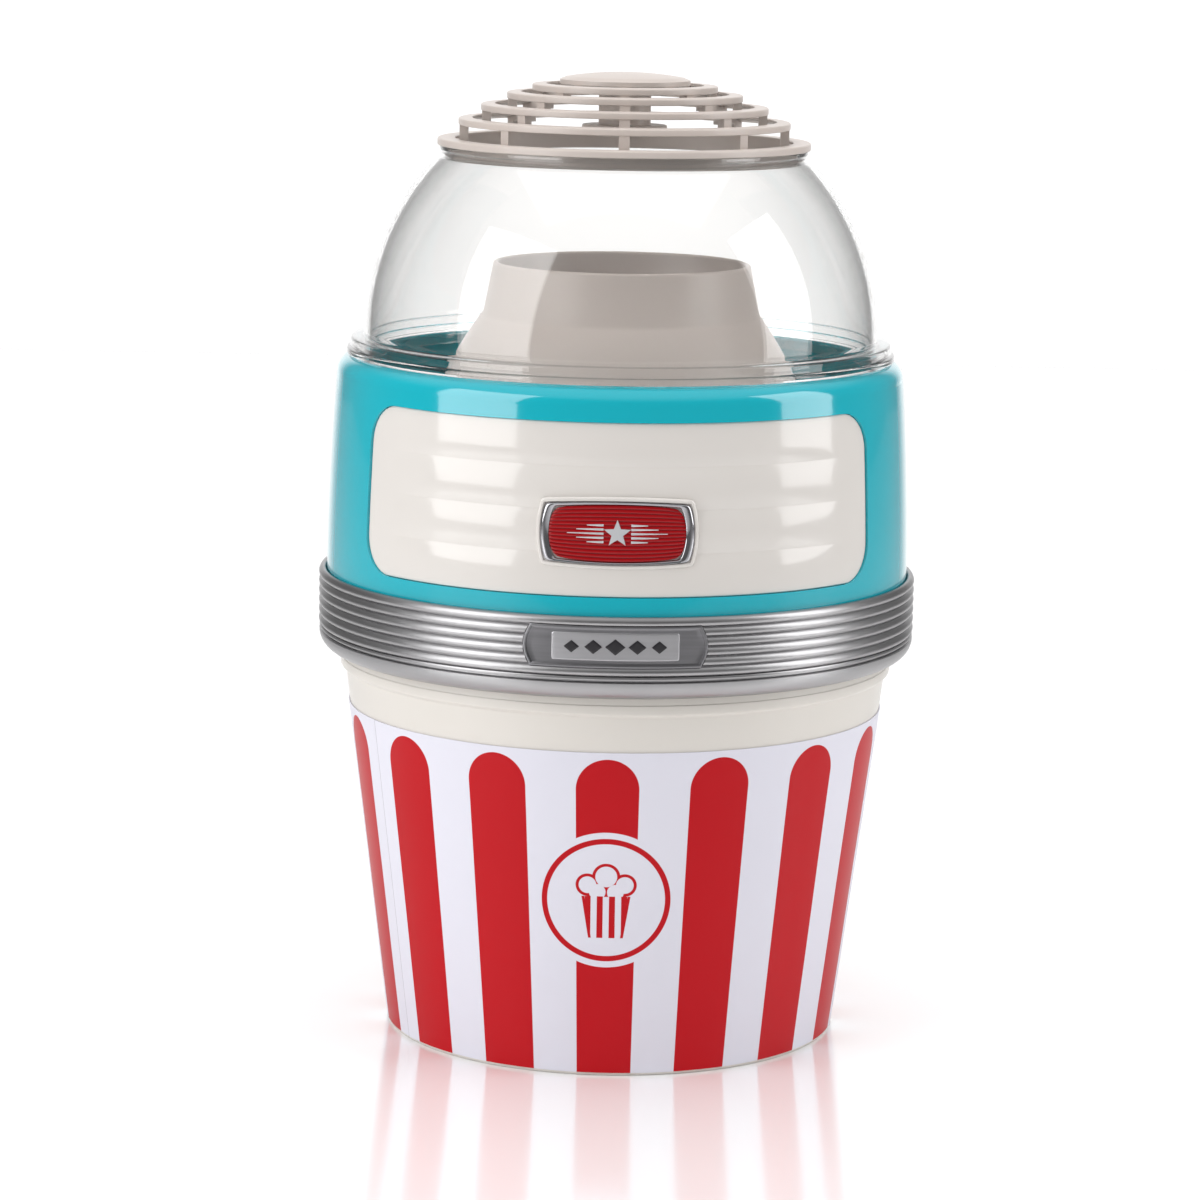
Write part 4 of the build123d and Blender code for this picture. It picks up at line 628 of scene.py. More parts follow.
def curved_plate(outline, levels, base_r, fill_steps=14):
    """Closed plate on a cylinder. Each level (inset, radius) repeats the outline moved
    inwards along its normals; the last ring then shrinks in steps to the middle."""
    ahead = np.roll(outline, -1, 0) - np.roll(outline, 1, 0)
    normal = np.stack([-ahead[:, 1], ahead[:, 0]], 1)
    normal /= np.linalg.norm(normal, axis=1, keepdims=True)
    middle = outline.mean(0)
    if ((middle - outline) * normal).sum() < 0:
        normal = -normal
    rings = [outline + normal * inset for inset, _ in levels]
    radii = [radius for _, radius in levels]
    shrink = np.linspace(1, 0, fill_steps + 1)[1:]
    front = [middle + (rings[-1] - middle) * share for share in shrink]
    back = [middle + (rings[0] - middle) * share for share in shrink[::-1]]
    all_rings = np.array(back + rings + front)
    all_radii = np.array([radii[0]] * len(back) + radii + [radii[-1]] * len(front))
    radius = all_radii[:, None] + 0 * all_rings[..., 0]
    points = ring_points(radius, all_rings[..., 1], all_rings[..., 0] / base_r)
    return points.reshape(-1, 3), quads(len(all_rings), len(outline), close_rows=False)


def bracket_outline(grow=0.0, steps=26):
    """The nameplate's outline: up the right end, along the top, down the left end."""
    z_rows = np.linspace(plate_low_z - grow, plate_top_z + grow, steps)
    reach_x = plate_reach(z_rows, grow)
    along = np.linspace(1, -1, 60)[1:-1]
    right = np.stack([reach_x, z_rows], 1)
    top = np.stack([along * reach_x[-1], np.full(len(along), z_rows[-1])], 1)
    return np.concatenate([right, top, right[::-1] * (-1, 1), top[::-1] * (1, 0) + (0, z_rows[0])])


plate_levels = [
    (0.0, band_r - PLATE_DEPTH),
    (0.0, band_r - 0.35),
    (0.12, band_r - 0.1),
    (0.35, band_r),
    (PLATE_RIM - 0.3, band_r),
    (PLATE_RIM - 0.1, band_r - 0.1),
    (PLATE_RIM, band_r - 0.55),
    (PLATE_RIM + 0.1, band_r - 0.6),
]
brushed_plate = Finish("brushed_plate", Metallic=1.0)
brush = brushed_plate.noise(260.0, 4.0, (0.12, 0.12, 3.0))
brushed_plate.set("Base Color", brushed_plate.mix(brush, paint(120, 119, 122), paint(144, 143, 146)))
brushed_plate.set("Roughness", 0.3 + brush * 0.12)
brushed_plate.bump(brush, 0.02)
publish(
    "nameplate_frame",
    [curved_plate(bracket_outline(), plate_levels, band_r)],
    brushed_plate,
    "machine",
    ["nameplate"],
)

# The inlay is a lighter strip with a plain row of raised lozenges in place of lettering.
inlay_half_w, inlay_low_z, inlay_top_z = front_span("nameplate_inlay")
inlay_outline = rounded(
    [
        (-inlay_half_w, inlay_low_z, 0.8),
        (inlay_half_w, inlay_low_z, 0.8),
        (inlay_half_w, inlay_top_z, 0.8),
        (-inlay_half_w, inlay_top_z, 0.8),
    ],
    12,
)


def spaced(outline, count):
    """The outline sampled again at equal distances along its length."""
    closed = np.concatenate([outline, outline[:1]])
    run = np.concatenate([[0], np.cumsum(np.linalg.norm(np.diff(closed, axis=0), axis=1))])
    at = np.linspace(0, run[-1], count, endpoint=False)
    return np.stack([np.interp(at, run, closed[:, k]) for k in (0, 1)], 1)


inlay_levels = [
    (0.0, band_r - 1.0),
    (0.0, band_r - 0.6),
    (0.2, band_r - 0.45),
    (0.4, band_r - 0.42),
]
pale_strip = Finish("pale_metal_strip", Metallic=1.0)
strip_grain = pale_strip.noise(300.0, 4.0, (0.1, 0.1, 3.0))
pale_strip.set("Base Color", pale_strip.mix(strip_grain, paint(176, 175, 178), paint(196, 195, 198)))
pale_strip.set("Roughness", 0.34 + strip_grain * 0.1)
pale_strip.bump(strip_grain, 0.015)
publish(
    "nameplate_strip",
    [curved_plate(spaced(inlay_outline, 160), inlay_levels, band_r)],
    pale_strip,
    "machine",
    ["nameplate_inlay"],
)
ornament = []
LOZENGES = 5
LOZENGE_PITCH = 8.4
for index in range(LOZENGES):
    size = 3.9 - 0.45 * abs(index - (LOZENGES - 1) / 2)
    centre = (index - (LOZENGES - 1) / 2) * LOZENGE_PITCH
    corners = [(1, 0), (0, 1), (-1, 0), (0, -1)]
    diamond = rounded(
        [(centre + size * a, plate_middle_z + 0.8 * size * b, 0.25) for a, b in corners], 3
    )
    diamond_levels = [(0.0, band_r - 0.6), (0.0, band_r - 0.2), (0.25, band_r - 0.08)]
    ornament.append(curved_plate(diamond, diamond_levels, band_r, 3))
dark_enamel = moulded("dark_enamel", paint(38, 36, 40), roughness=0.3, peel=0.005)
publish("nameplate_lozenges", ornament, dark_enamel, "machine")


# ==== Upper housing ====================================================================
# The teal shell, moulded in high-gloss ABS. Its CAD shape is shown as it is: a window for
# the cream panel in front, and air slots, the rocker and the cord gland behind.

SHOULDER_R = 7.5
SIDE_BULGE = 0.63
SIDE_TAPER = 3.6
PANEL_SINK = 0.8
PANEL_THICK = 1.1
PANEL_CORNER_R = 15.0
PANEL_HALF_ANGLE = math.radians(56.6)
housing_r, _, deck_z = span("upper_housing")
side_top_z = deck_z - SHOULDER_R
side_low_z = band_top_z
_, panel_low_z, panel_top_z = front_span("front_panel")


def side_r(height):
    """Outer radius of the housing's side: a taper with a slight parabolic bow."""
    t = np.clip((height - side_low_z) / (side_top_z - side_low_z), 0, 1)
    return housing_r - SIDE_TAPER * t + 4 * SIDE_BULGE * t * (1 - t)


def panel_reach(height, grow=0.0):
    """Half width of the panel along the curve, in units of the band's radius, with
    corners that follow a quarter circle."""
    inside_corner = PANEL_CORNER_R + grow
    depth = np.minimum(height - (panel_low_z - grow), (panel_top_z + grow) - height)
    short = np.clip(inside_corner - depth, 0, inside_corner)
    corner = inside_corner - np.sqrt(np.clip(inside_corner ** 2 - short ** 2, 0, None))
    full = PANEL_HALF_ANGLE * side_r(height) + grow
    return (full - corner) * band_r / side_r(height)


gloss_teal = moulded(
    "gloss_teal", paint(0, 174, 190), roughness=0.11, peel=0.004, shift=0.02, grain=350.0
)
gloss_teal.set("Coat Weight", 0.8)
gloss_teal.set("Coat Roughness", 0.04)


# ==== Front panel and badge ============================================================
# A thin cream ABS panel with shallow clapboard ribs that fade out towards its ends. The
# badge is a chromed frame round a ribbed red plate, set in a raised bezel of the panel.

GROOVES_Z = (211.0, 227.5, 243.9)
GROOVE_REACH = 94.0         # the grooves have faded out this far from the middle
BOARD_CROWN = 0.72          # each board swells by this between its grooves
BADGE_Z = 219.0
BADGE_HALF_W = 27.4
BADGE_HALF_H = 10.9
BADGE_BOW = 1.1
BADGE_END_BOW = 2.0
BADGE_END_WIDTH = 3.1
BADGE_EDGE_WIDTH = 1.0
BEZEL_WIDTH = 1.9
EDGE_EASE = 0.7             # the panel's edges are rounded over this width
EDGE_DROP = 0.35


def closed_sheet(front, back):
    """Closed shell of two open grids of points, joined by a wall along their borders."""
    rows, columns = front.shape[:2]
    cells = quads(rows, columns, False, False)
    count = rows * columns
    numbers = np.arange(count).reshape(rows, columns)
    border = np.concatenate(
        [numbers[0, :-1], numbers[:-1, -1], numbers[-1, :0:-1], numbers[:0:-1, 0]]
    )
    following = np.roll(border, -1)
    wall = np.stack([border, following, following + count, border + count], 1)
    points = np.concatenate([front.reshape(-1, 3), back.reshape(-1, 3)])
    return points, np.concatenate([cells, cells + count, wall])


# Rows of the grid crowd together at the grooves and along the eased edges.
about_groove = np.array([-1.4, -0.9, -0.5, -0.25, 0, 0.25, 0.5, 0.9, 1.4])
groove_rows = [groove_z + about_groove for groove_z in GROOVES_Z]
edge_rows = np.array([0, 0.08, 0.2, 0.4, EDGE_EASE])
even_rows = np.linspace(panel_low_z, panel_top_z, 60)
panel_z = np.unique(
    np.concatenate([even_rows, *groove_rows, panel_low_z + edge_rows, panel_top_z - edge_rows])
)[:, None]
half_span = PANEL_HALF_ANGLE * side_r(panel_z)
panel_u = np.linspace(-1, 1, 181)
panel_u = np.unique(np.concatenate([panel_u, 1 - edge_rows / 110, edge_rows / 110 - 1]))[None, :]
panel_s = panel_u * panel_reach(panel_z) * side_r(panel_z) / band_r
from_end = (1 - np.abs(panel_u)) * half_span
from_edge = np.minimum(panel_z - panel_low_z, panel_top_z - panel_z)
near = np.clip(np.minimum(from_end, from_edge), 0, EDGE_EASE) / EDGE_EASE
ease_drop = EDGE_DROP * (1 - np.sqrt(1 - (1 - near) ** 2))
fade = np.clip(2.2 * (1.12 - np.abs(panel_s) / GROOVE_REACH), 0, 1)
fade = fade * fade * (3 - 2 * fade)
seams_z = np.array([panel_low_z, *GROOVES_Z, panel_top_z])
board = np.clip(np.searchsorted(seams_z, panel_z) - 1, 0, len(seams_z) - 2)
board_u = (panel_z - seams_z[board]) / (seams_z[board + 1] - seams_z[board])
at_low_edge = (board == 0) & (board_u < 0.5)
at_top_edge = (board == len(GROOVES_Z)) & (board_u > 0.5)
at_groove = np.where(at_low_edge | at_top_edge, 0.0, 1.0)
groove_depth = fade * at_groove * BOARD_CROWN * np.abs(2 * board_u - 1) ** 2.4
face_r = side_r(panel_z) - PANEL_SINK - ease_drop - groove_depth
back_r = side_r(panel_z) - PANEL_SINK - PANEL_THICK + 0 * panel_s
panel_angle = panel_s / side_r(panel_z)
panel_shell = closed_sheet(
    ring_points(face_r, panel_z, panel_angle), ring_points(back_r, panel_z, panel_angle)
)
gloss_cream = moulded(
    "gloss_cream", paint(222, 217, 212), roughness=0.14, peel=0.005, shift=0.015, grain=300.0
)
gloss_cream.set("Coat Weight", 0.4)
gloss_cream.set("Coat Roughness", 0.05)


def barrel_outline(grow=0.0, end_trim=0.0, edge_trim=0.0, corner=2.6, count=220):
    """Rectangle whose four sides bow outwards by a parabola, with rounded corners."""
    half_w = BADGE_HALF_W + grow - end_trim
    half_h = BADGE_HALF_H + grow - edge_trim
    u = np.linspace(-1, 1, 60)[:, None]
    bottom = np.concatenate([u * half_w, -half_h - BADGE_BOW * (1 - u ** 2)], 1)
    right = np.concatenate([half_w + BADGE_END_BOW * (1 - u ** 2), u * half_h], 1)
    outline = np.concatenate([bottom[:-1], right[:-1], -bottom[:-1], -right[:-1]])
    outline = spaced(outline, 4 * count)
    reach_n = max(1, int(corner / np.linalg.norm(outline[1] - outline[0])))
    kernel = np.hanning(2 * reach_n + 3)[1:-1]
    kernel /= kernel.sum()
    padded = np.concatenate([outline[-reach_n:], outline, outline[:reach_n]])
    smooth = np.stack([np.convolve(padded[:, k], kernel, "valid") for k in (0, 1)], 1)
    return spaced(smooth, count) + (0, BADGE_Z)


badge_side_r = float(side_r(BADGE_Z))
panel_face_r = badge_side_r - PANEL_SINK
bezel_levels = [
    (0.0, panel_face_r - 0.6),
    (0.0, panel_face_r + 0.1),
    (0.12, panel_face_r + 0.5),
    (0.4, panel_face_r + 0.85),
    (0.8, panel_face_r + 0.95),
    (BEZEL_WIDTH - 0.45, panel_face_r + 0.9),
    (BEZEL_WIDTH - 0.2, panel_face_r + 0.6),
    (BEZEL_WIDTH - 0.1, panel_face_r - 0.4),
]
bezel_shell = curved_plate(barrel_outline(BEZEL_WIDTH), bezel_levels, badge_side_r)
publish(
    "panel_face",
    [panel_shell, bezel_shell],
    gloss_cream,
    "machine",
    ["front_panel"],
    sharp=40,
)

frame_outer = barrel_outline()
frame_inner = barrel_outline(0.0, BADGE_END_WIDTH, BADGE_EDGE_WIDTH)
frame_share = np.array([0.0, 0.0, 0.12, 0.35, 0.6, 0.88, 1.0, 1.0])[:, None, None]
frame_rise = np.array([-1.0, 1.05, 1.4, 1.62, 1.6, 1.35, 1.0, -1.0])[:, None]
frame_rings = frame_outer + (frame_inner - frame_outer) * frame_share
frame_r = panel_face_r + frame_rise
frame_points = ring_points(frame_r, frame_rings[..., 1], frame_rings[..., 0] / badge_side_r)
polished_chrome = Finish("polished_chrome", Metallic=1.0)
chrome_cloud = polished_chrome.noise(40.0, 2.0)
polished_chrome.set(
    "Base Color", polished_chrome.mix(chrome_cloud, paint(160, 159, 163), paint(178, 177, 181))
)
polished_chrome.set("Roughness", 0.07 + chrome_cloud * 0.05)
publish(
    "badge_chrome_frame",
    [(frame_points.reshape(-1, 3), quads(len(frame_rise), len(frame_outer)))],
    polished_chrome,
    "machine",
    ["badge_frame"],
)

# The red plate: its face is ridged by fine horizontal ribs, and its corners are squeezed in.
PLATE_RIBS = 14
RIDGE_HEIGHT = 0.22
CORNER_SQUEEZE = 0.06
CORNER_POWER = 7.0
plate_half_h = BADGE_HALF_H - BADGE_EDGE_WIDTH - 0.1
badge_half_w = BADGE_HALF_W - BADGE_END_WIDTH - 0.1
plate_v = np.linspace(-1, 1, PLATE_RIBS * 8 + 1)[:, None]
plate_u = np.linspace(-1, 1, 91)[None, :]
squeeze_u = 1 - np.abs(plate_v) ** CORNER_POWER * CORNER_SQUEEZE
squeeze_v = 1 - np.abs(plate_u) ** CORNER_POWER * CORNER_SQUEEZE
badge_s = plate_u * squeeze_u * (badge_half_w + BADGE_END_BOW * (1 - plate_v ** 2))
badge_z = BADGE_Z + plate_v * squeeze_v * (plate_half_h + BADGE_BOW * (1 - plate_u ** 2))
ridge = RIDGE_HEIGHT * np.abs(np.sin(plate_v * np.pi * PLATE_RIBS / 2))
calm = np.clip((1 - np.abs(plate_u)) / 0.05, 0, 1)
badge_r = panel_face_r + 0.85 + ridge * calm + 0.25 * (1 - plate_u ** 2) * (1 - plate_v ** 2)
badge_angle = badge_s / badge_side_r
badge_shell = closed_sheet(
    ring_points(badge_r, badge_z, badge_angle), ring_points(panel_face_r - 0.9, badge_z, badge_angle)
)
ruby = moulded("ruby_badge", paint(150, 4, 12), roughness=0.16, peel=0.003, shift=0.06)
x, y, z = ruby.place()
plate_across = x.apply("ARCTAN2", y * -1) * (badge_side_r / badge_half_w)
plate_bow = plate_half_h + (1 - plate_across * plate_across) * BADGE_BOW
rib_wave = ((z - BADGE_Z) / plate_bow * (math.pi * PLATE_RIBS / 2)).apply("SINE").apply("ABSOLUTE")
# Painted shade: the red darkens towards near black in the valleys between the ribs.
valley_painted_shade = (1 - rib_wave * 1.5).apply("MAXIMUM", 0.0)
ruby.set("Base Color", ruby.mix(valley_painted_shade * 0.75, paint(158, 2, 12), paint(48, 0, 4)))
ruby.set("Specular IOR Level", 0.15)
ruby.set("Coat Weight", 0.3)
ruby.set("Coat Roughness", 0.05)
publish("badge_red_plate", [badge_shell], ruby, "machine", ["badge_plate"], sharp=60)

# A plain star stands on the red plate between bars that taper towards their tips.
BAR_PITCH = 1.6
BAR_START = 5.2
BAR_REACH = (11.5, 15.5, 19.0, 15.5, 11.5)
BAR_ROOT_HALF = 0.45
BAR_TIP_HALF = 0.15
STAR_TIP_R = 5.4
STAR_WAIST_R = 2.3
ornament_foot_r = panel_face_r + 0.8
bar_levels = [(0.0, ornament_foot_r), (0.0, panel_face_r + 1.42), (0.08, panel_face_r + 1.5)]
star_levels = [(0.0, ornament_foot_r), (0.0, panel_face_r + 1.5), (0.1, panel_face_r + 1.6)]
star_and_bars = []
for side in (-1, 1):
    root = side * BAR_START
    for index, bar_length in enumerate(BAR_REACH):
        level = (2 - index) * BAR_PITCH
        tip = side * bar_length
        bar = rounded(
            [
                (root, level - BAR_ROOT_HALF, 0.2),
                (tip, level - BAR_TIP_HALF, 0.1),
                (tip, level + BAR_TIP_HALF, 0.1),
                (root, level + BAR_ROOT_HALF, 0.2),
            ],
            3,
        )
        star_and_bars.append(curved_plate(bar + (0, BADGE_Z), bar_levels, badge_side_r, 3))
star_angle = np.linspace(0, 2 * np.pi, 10, endpoint=False) + np.pi / 2
star_reach = np.where(np.arange(10) % 2 == 0, STAR_TIP_R, STAR_WAIST_R)
star = np.stack([star_reach * np.cos(star_angle), star_reach * np.sin(star_angle) + BADGE_Z], 1)
star_and_bars.append(curved_plate(star, star_levels, badge_side_r, 2))
silver_enamel = Finish("silver_enamel", Metallic=0.6, Roughness=0.3)
silver_cloud = silver_enamel.noise(80.0)
silver_enamel.set(
    "Base Color", silver_enamel.mix(silver_cloud, paint(214, 216, 220), paint(232, 233, 236))
)
publish("badge_star_and_bars", star_and_bars, silver_enamel, "machine")


# ==== Inner sleeve, tower and chute ====================================================
# The sleeve, its teal darkened as painted shade for the depth of the gap, and the taupe chute bound the
# ring-shaped gap that the popcorn falls through. The chute is a flared moulding that slips over the
# tower's top.

# Painted shade: this is the housing's teal darkened to stand in for the shade deep in the gap.
teal_painted_shade = moulded("teal_painted_shade", paint(6, 104, 114), roughness=0.2, peel=0.006)

CHUTE_WALL = 2.2
CHUTE_SHOULDER_Z = 266.0
CHUTE_NECK_Z = 291.0
CHUTE_NECK_R = 55.4
CHUTE_RIM_R = 51.8
CHUTE_LIP_R = 1.2
FLARE_BULGE = 0.783         # the flare swells past a straight cone by this at its middle
LEDGE_TOP_Z = 300.0         # the ledge inside that the popping chamber's rim rests on
LEDGE_LOW_Z = 298.0
LEDGE_R = 44.6
chute_r, chute_low_z, chute_rim_z = span("chute")
flare_t = np.linspace(0, 1, 16)
flare_r = chute_r + (CHUTE_NECK_R - chute_r) * flare_t + 4 * FLARE_BULGE * flare_t * (1 - flare_t)
flare_z = CHUTE_SHOULDER_Z + (CHUTE_NECK_Z - CHUTE_SHOULDER_Z) * flare_t
rim_angle = np.linspace(0, np.pi, 9)
lip = CHUTE_LIP_R * np.stack([np.cos(rim_angle), np.sin(rim_angle)], 1)
chute_outline = np.concatenate(
    [
        [
            (chute_r - CHUTE_WALL, chute_low_z),
            (chute_r - 0.3, chute_low_z),
            (chute_r, chute_low_z + 0.3),
        ],
        np.stack([flare_r, flare_z], 1),
        lip + (CHUTE_RIM_R - CHUTE_LIP_R, chute_rim_z - CHUTE_LIP_R),
        [
            (CHUTE_RIM_R - 2.0, LEDGE_TOP_Z + 0.2),
            (CHUTE_RIM_R - 2.1, LEDGE_TOP_Z),
            (LEDGE_R + 0.2, LEDGE_TOP_Z),
            (LEDGE_R, LEDGE_TOP_Z - 0.2),
            (LEDGE_R, LEDGE_LOW_Z),
            (CHUTE_RIM_R + 0.2, LEDGE_LOW_Z),
            (CHUTE_NECK_R - CHUTE_WALL, CHUTE_NECK_Z),
            (chute_r - CHUTE_WALL, CHUTE_SHOULDER_Z - 2),
        ],
    ]
)
taupe = moulded("taupe_plastic", paint(202, 191, 184), roughness=0.34, peel=0.004, shift=0.015)
publish("chute_shell", [lathe(chute_outline)], taupe, "machine", ["chute"])


# ==== Dome =============================================================================
# The clear lid: a polished polycarbonate moulding with a stepped flange that rests on
# the housing, a short spigot inside it and a neck that the grille snaps into.

DOME_R = 103.2
DOME_CENTRE_Z = 282.0
DOME_WALL = 2.5
NECK_R = 73.6
NECK_BORE_R = 69.6
NECK_HEIGHT = 1.8
SPIGOT_R = 103.4
SPIGOT_BORE_R = 101.0
STEP_INSET = 1.6            # the flange's upper step stands this far inside its edge
flange_r, spigot_low_z, neck_z = span("dome_lid")
neck_low_z = neck_z - NECK_HEIGHT
dome_low_z = deck_z + 0.1
step_top_z = dome_low_z + 6.6


def dome_arc(radius, low_z, top_z, steps):
    """Points of the sphere about the dome's centre between two heights."""
    low = math.asin((low_z - DOME_CENTRE_Z) / radius)
    top = math.asin((top_z - DOME_CENTRE_Z) / radius)
    turn = np.linspace(low, top, steps)
    return np.stack([radius * np.cos(turn), DOME_CENTRE_Z + radius * np.sin(turn)], 1)


flange = rounded(
    [
        (SPIGOT_BORE_R, spigot_low_z, 0.6),
        (SPIGOT_R, spigot_low_z, 0.6),
        (SPIGOT_R, dome_low_z, 0.4),
        (flange_r, dome_low_z, 0.5),
        (flange_r, dome_low_z + 2.4, 0.9),
        (flange_r - STEP_INSET, dome_low_z + 2.8, 0.3),
        (flange_r - STEP_INSET, step_top_z, 1.2),
        (DOME_R, step_top_z, 0.8),
        (DOME_R - 4, step_top_z + 30, 0),
    ]
)[:-6]
crown = rounded(
    [
        (NECK_R - 2, neck_low_z - 1.5, 0),
        (NECK_R - 1, neck_low_z - 0.2, 0.4),
        (NECK_R, neck_low_z, 0.5),
        (NECK_R, neck_z, 0.5),
        (NECK_BORE_R, neck_z, 0.5),
        (NECK_BORE_R, neck_z - 4, 0.5),
        (NECK_BORE_R + 1.6, neck_z - 4.6, 0),
    ]
)[6:-6]
dome_outline = np.concatenate(
    [
        flange,
        dome_arc(DOME_R, step_top_z + 1.2, neck_low_z - 1.2, 60),
        crown,
        dome_arc(DOME_R - DOME_WALL, DOME_CENTRE_Z, neck_z - 5.2, 60)[::-1],
    ]
)
clear = Finish("clear_polycarbonate", Transmission_Weight=1.0, IOR=1.12, Coat_Weight=1.0)
# Painted shade: where the surface turns edge-on, its colour darkens towards near black for the dark rims
# of the clear dome.
edge_on_shade_factor = clear.node("LayerWeight", None, {"Blend": 0.32})[1]
FACE_ON_TINT = (0.985, 0.982, 0.976, 1)
EDGE_ON_PAINTED_SHADE = (0.03, 0.03, 0.028, 1)
clear.set("Base Color", clear.mix(edge_on_shade_factor.apply("POWER", 2.8), FACE_ON_TINT, EDGE_ON_PAINTED_SHADE))
clear.set("Roughness", clear.noise(30.0, 3.0) * 0.02)
publish("dome_clear", [lathe(dome_outline, 360)], clear, "dome", ["dome_lid"], sharp=40)


# ==== Vent grille ======================================================================
# One beige moulding snapped into the dome's neck: terraced rings on eight stepped ribs,
# a closed cap on top and a stepped boss that hangs under it.

GRILLE_ARCH_R = 82.4
GRILLE_ARCH_HEIGHT = 46.7
GRILLE_ARCH_Z = 340.0
RING_RADII = (66.2, 57.3, 47.0, 37.0)
CAP_R = 26.0
RING_WIDTH = 5.6
RING_HEIGHT = 2.7
BASE_BORE_R = 67.3
BASE_THICK = 2.9
SKIRT_R = 69.3
BOSS_R = 10.4
BOSS_FOOT_R = 17.0
BOSS_FOOT_Z = 362.0
BOSS_FOOT_THICK = 4.0
grille_r, skirt_z, cap_z = span("vent_grille")
base_z = neck_z + 0.1


def arch_z(radius):
    """Height of the elliptical arch that the rings stand on."""
    return GRILLE_ARCH_Z + GRILLE_ARCH_HEIGHT * np.sqrt(1 - (radius / GRILLE_ARCH_R) ** 2)


grille_shells = [
    lathe(
        rounded(
            [
                (BASE_BORE_R, skirt_z, 0.4),
                (SKIRT_R, skirt_z, 0.4),
                (SKIRT_R, base_z, 0.3),
                (grille_r, base_z, 0.5),
                (grille_r, base_z + BASE_THICK, 0.9),
                (BASE_BORE_R, base_z + BASE_THICK, 0.6),
            ]
        )
    )
]
for ring_r in RING_RADII:
    top = float(arch_z(ring_r))
    section = [
        (ring_r, top - RING_HEIGHT, 0.5),
        (ring_r, top, 0.7),
        (ring_r - RING_WIDTH, top + 0.3, 0.4),
        (ring_r - RING_WIDTH, top - 1.1, 0.4),
    ]
    grille_shells.append(lathe(rounded(section), 240))
cap_edge = float(arch_z(CAP_R))
cap_t = np.linspace(1, 0, 12)
cap_curve = np.stack([CAP_R * cap_t, cap_z - (cap_z - cap_edge) * cap_t ** 2], 1)
cap_low_z = cap_edge - RING_HEIGHT
cap_side = [(0.0, cap_low_z), (CAP_R - 0.4, cap_low_z), (CAP_R, cap_low_z + 0.4), (CAP_R, cap_edge - 0.6)]
cap_outline = np.concatenate([cap_side, cap_curve[1:]])
grille_shells.append(lathe(cap_outline, 180))
boss_outline = rounded(
    [
        (0.0, BOSS_FOOT_Z, 0),
        (BOSS_FOOT_R, BOSS_FOOT_Z, 0.7),
        (BOSS_FOOT_R, BOSS_FOOT_Z + BOSS_FOOT_THICK, 0.7),
        (BOSS_R, BOSS_FOOT_Z + BOSS_FOOT_THICK, 0.8),
        (BOSS_R, cap_edge - 2, 0.2),
        (0.0, cap_edge - 2, 0),
    ]
)
grille_shells.append(lathe(boss_outline, 96))

RIBS = 8
RIB_HALF = 2.1
RIB_INSET = 0.5             # the risers stand this far inside the terraces' edges
RIB_SINK = 0.9
RIB_WEB = 3.5
RIB_LINK = 2.6
level = base_z + BASE_THICK - RIB_SINK
upper = [(SKIRT_R - RIB_INSET, level)]
for ring_r in RING_RADII + (CAP_R,):
    upper.append((ring_r - RIB_INSET, level))
    level = float(arch_z(ring_r)) - RIB_SINK
    upper.append((ring_r - RIB_INSET, level))
upper.append((5.0, level))
upper = np.array(upper)
lower = upper - (RIB_WEB, RIB_LINK)
lower[0, 0] = upper[0, 0]
lower[-1, 0] = upper[-1, 0]
rib_line_rz = np.stack([upper, upper, lower, lower], 1)
rib_x = np.array([-RIB_HALF, RIB_HALF, RIB_HALF, -RIB_HALF])[None, :] + 0 * rib_line_rz[..., 0]
rib_r = rib_line_rz[..., 0]
ends = np.array([[0, 1, 2, 3], [3, 2, 1, 0]]) + [[0], [4 * (len(upper) - 1)]]
rib_faces = np.concatenate([quads(len(upper), 4, close_rows=False), ends])
for index in range(RIBS):
    turn = index * 2 * math.pi / RIBS
    points = np.stack(
        [
            rib_r * math.sin(turn) + rib_x * math.cos(turn),
            -rib_r * math.cos(turn) + rib_x * math.sin(turn),
            rib_line_rz[..., 1],
        ],
        -1,
    )
    grille_shells.append((points.reshape(-1, 3), rib_faces))
publish("vent_grille_moulding", grille_shells, taupe, "dome", ["vent_grille"])


# ==== Inside pieces ====================================================================
# Everything that the shells hide keeps its CAD shape and takes the finish of its slot.

black = moulded("black_plastic", paint(28, 28, 30), roughness=0.4, peel=0.02)
pale = moulded("pale_nylon", paint(214, 210, 202), roughness=0.42, peel=0.015)


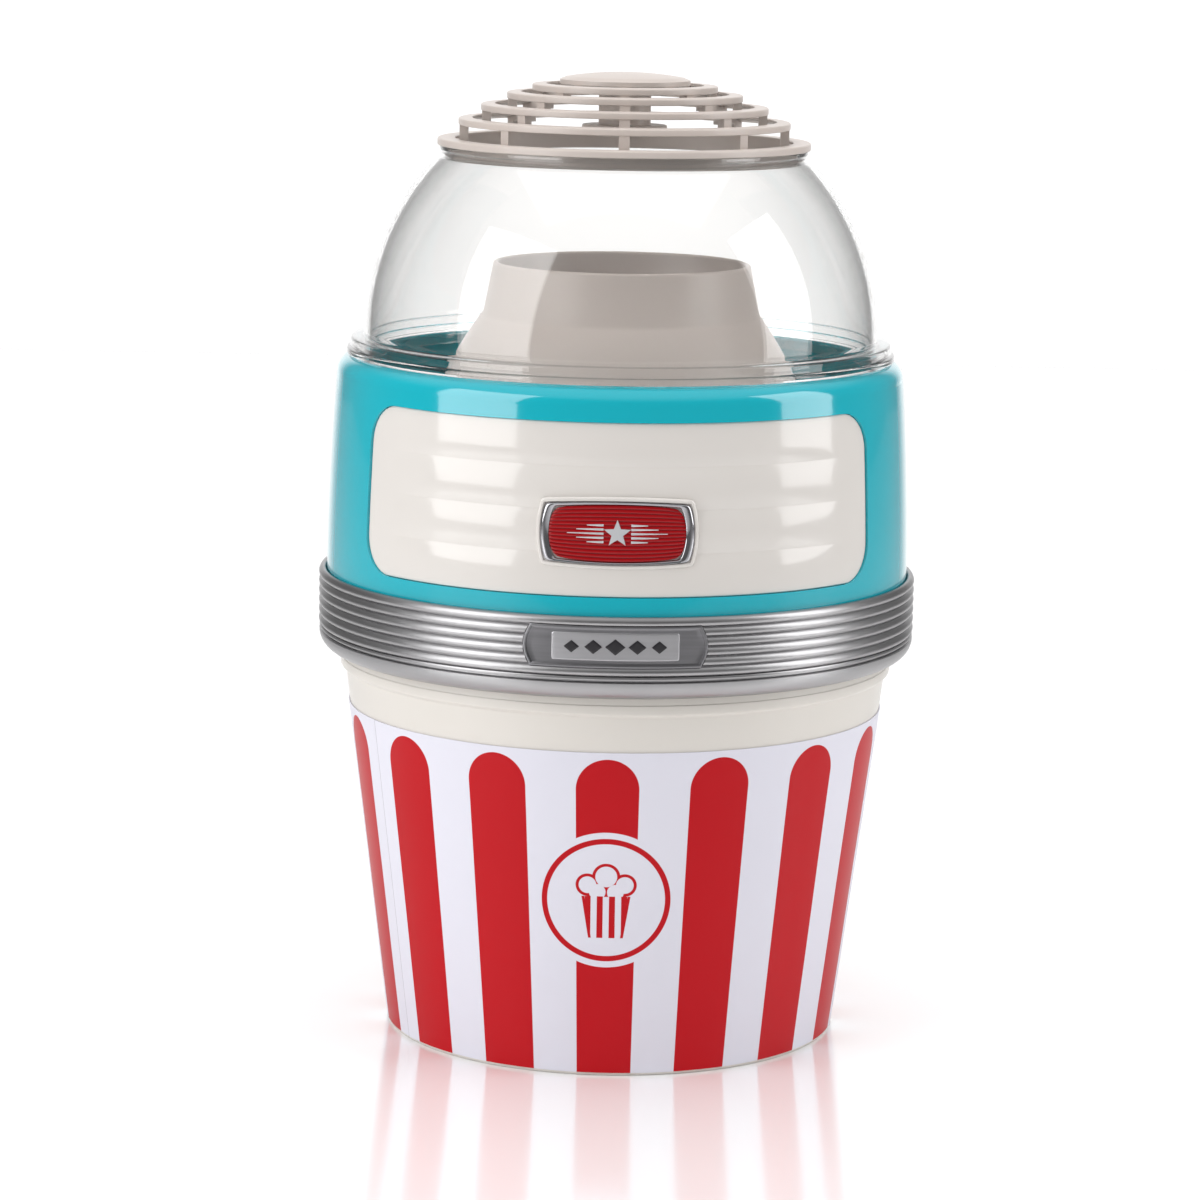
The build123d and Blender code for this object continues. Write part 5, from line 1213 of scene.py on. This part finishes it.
def bare_metal(name, low, high, grain, roughness=0.5):
    """Uncoated metal whose colour clouds between two shades."""
    finish = Finish(name, Metallic=1.0, Roughness=roughness)
    finish.set("Base Color", finish.mix(finish.noise(grain), low, high))
    return finish


zinc = bare_metal("zinc_plate", paint(166, 166, 160), paint(190, 189, 182), 90.0)
zinc.set("Roughness", 0.28 + zinc.noise(300.0) * 0.15)
spun = bare_metal("spun_aluminium", paint(196, 197, 199), paint(216, 216, 217), 50.0)
spun.set("Roughness", 0.24 + spun.noise(200.0) * 0.12)
x, y, z = spun.place()
spin_r = (x * x + y * y).apply("SQRT")
spun.bump((spin_r * 9.0 + z * 11.0).apply("SINE"), 0.01)
wire = bare_metal("heating_wire", paint(92, 84, 80), paint(126, 116, 110), 200.0, 0.45)
bronze = bare_metal("sintered_bronze", paint(168, 128, 76), paint(188, 148, 92), 300.0, 0.4)
copper = bare_metal("copper_bars", paint(196, 118, 84), paint(214, 136, 100), 120.0, 0.25)
mica = moulded("mica_board", paint(176, 156, 116), roughness=0.5, peel=0.05, shift=0.2, grain=400.0)
ferrite = moulded("ferrite", paint(52, 52, 55), roughness=0.6, peel=0.03)
card = moulded("phenolic_board", paint(150, 112, 66), roughness=0.5, peel=0.02)
sleeve_white = moulded("silicone_sleeve", paint(226, 223, 214), roughness=0.5, peel=0.02)

slot_finishes = {
    "teal_plastic": gloss_teal,
    "silver_trim": satin_metal,
    "beige_plastic": taupe,
    "dark_teal_plastic": teal_painted_shade,
    "black_plastic": black,
    "impeller_plastic": pale,
    "screw_steel": zinc,
    "steel": zinc,
    "tin_plate": zinc,
    "aluminium_sheet": spun,
    "mica": mica,
    "heating_wire": wire,
    "bush_bronze": bronze,
    "magnet": ferrite,
    "copper": copper,
    "carbon": ferrite,
    "board": card,
    "wire_insulation": sleeve_white,
}
for entry in frame["record"]["subparts"]:
    finish = slot_finishes.get(entry["material_slot"])
    if finish:
        mesh = frame["nodes"][entry["node"]].data
        mesh.materials.clear()
        mesh.materials.append(finish.material)
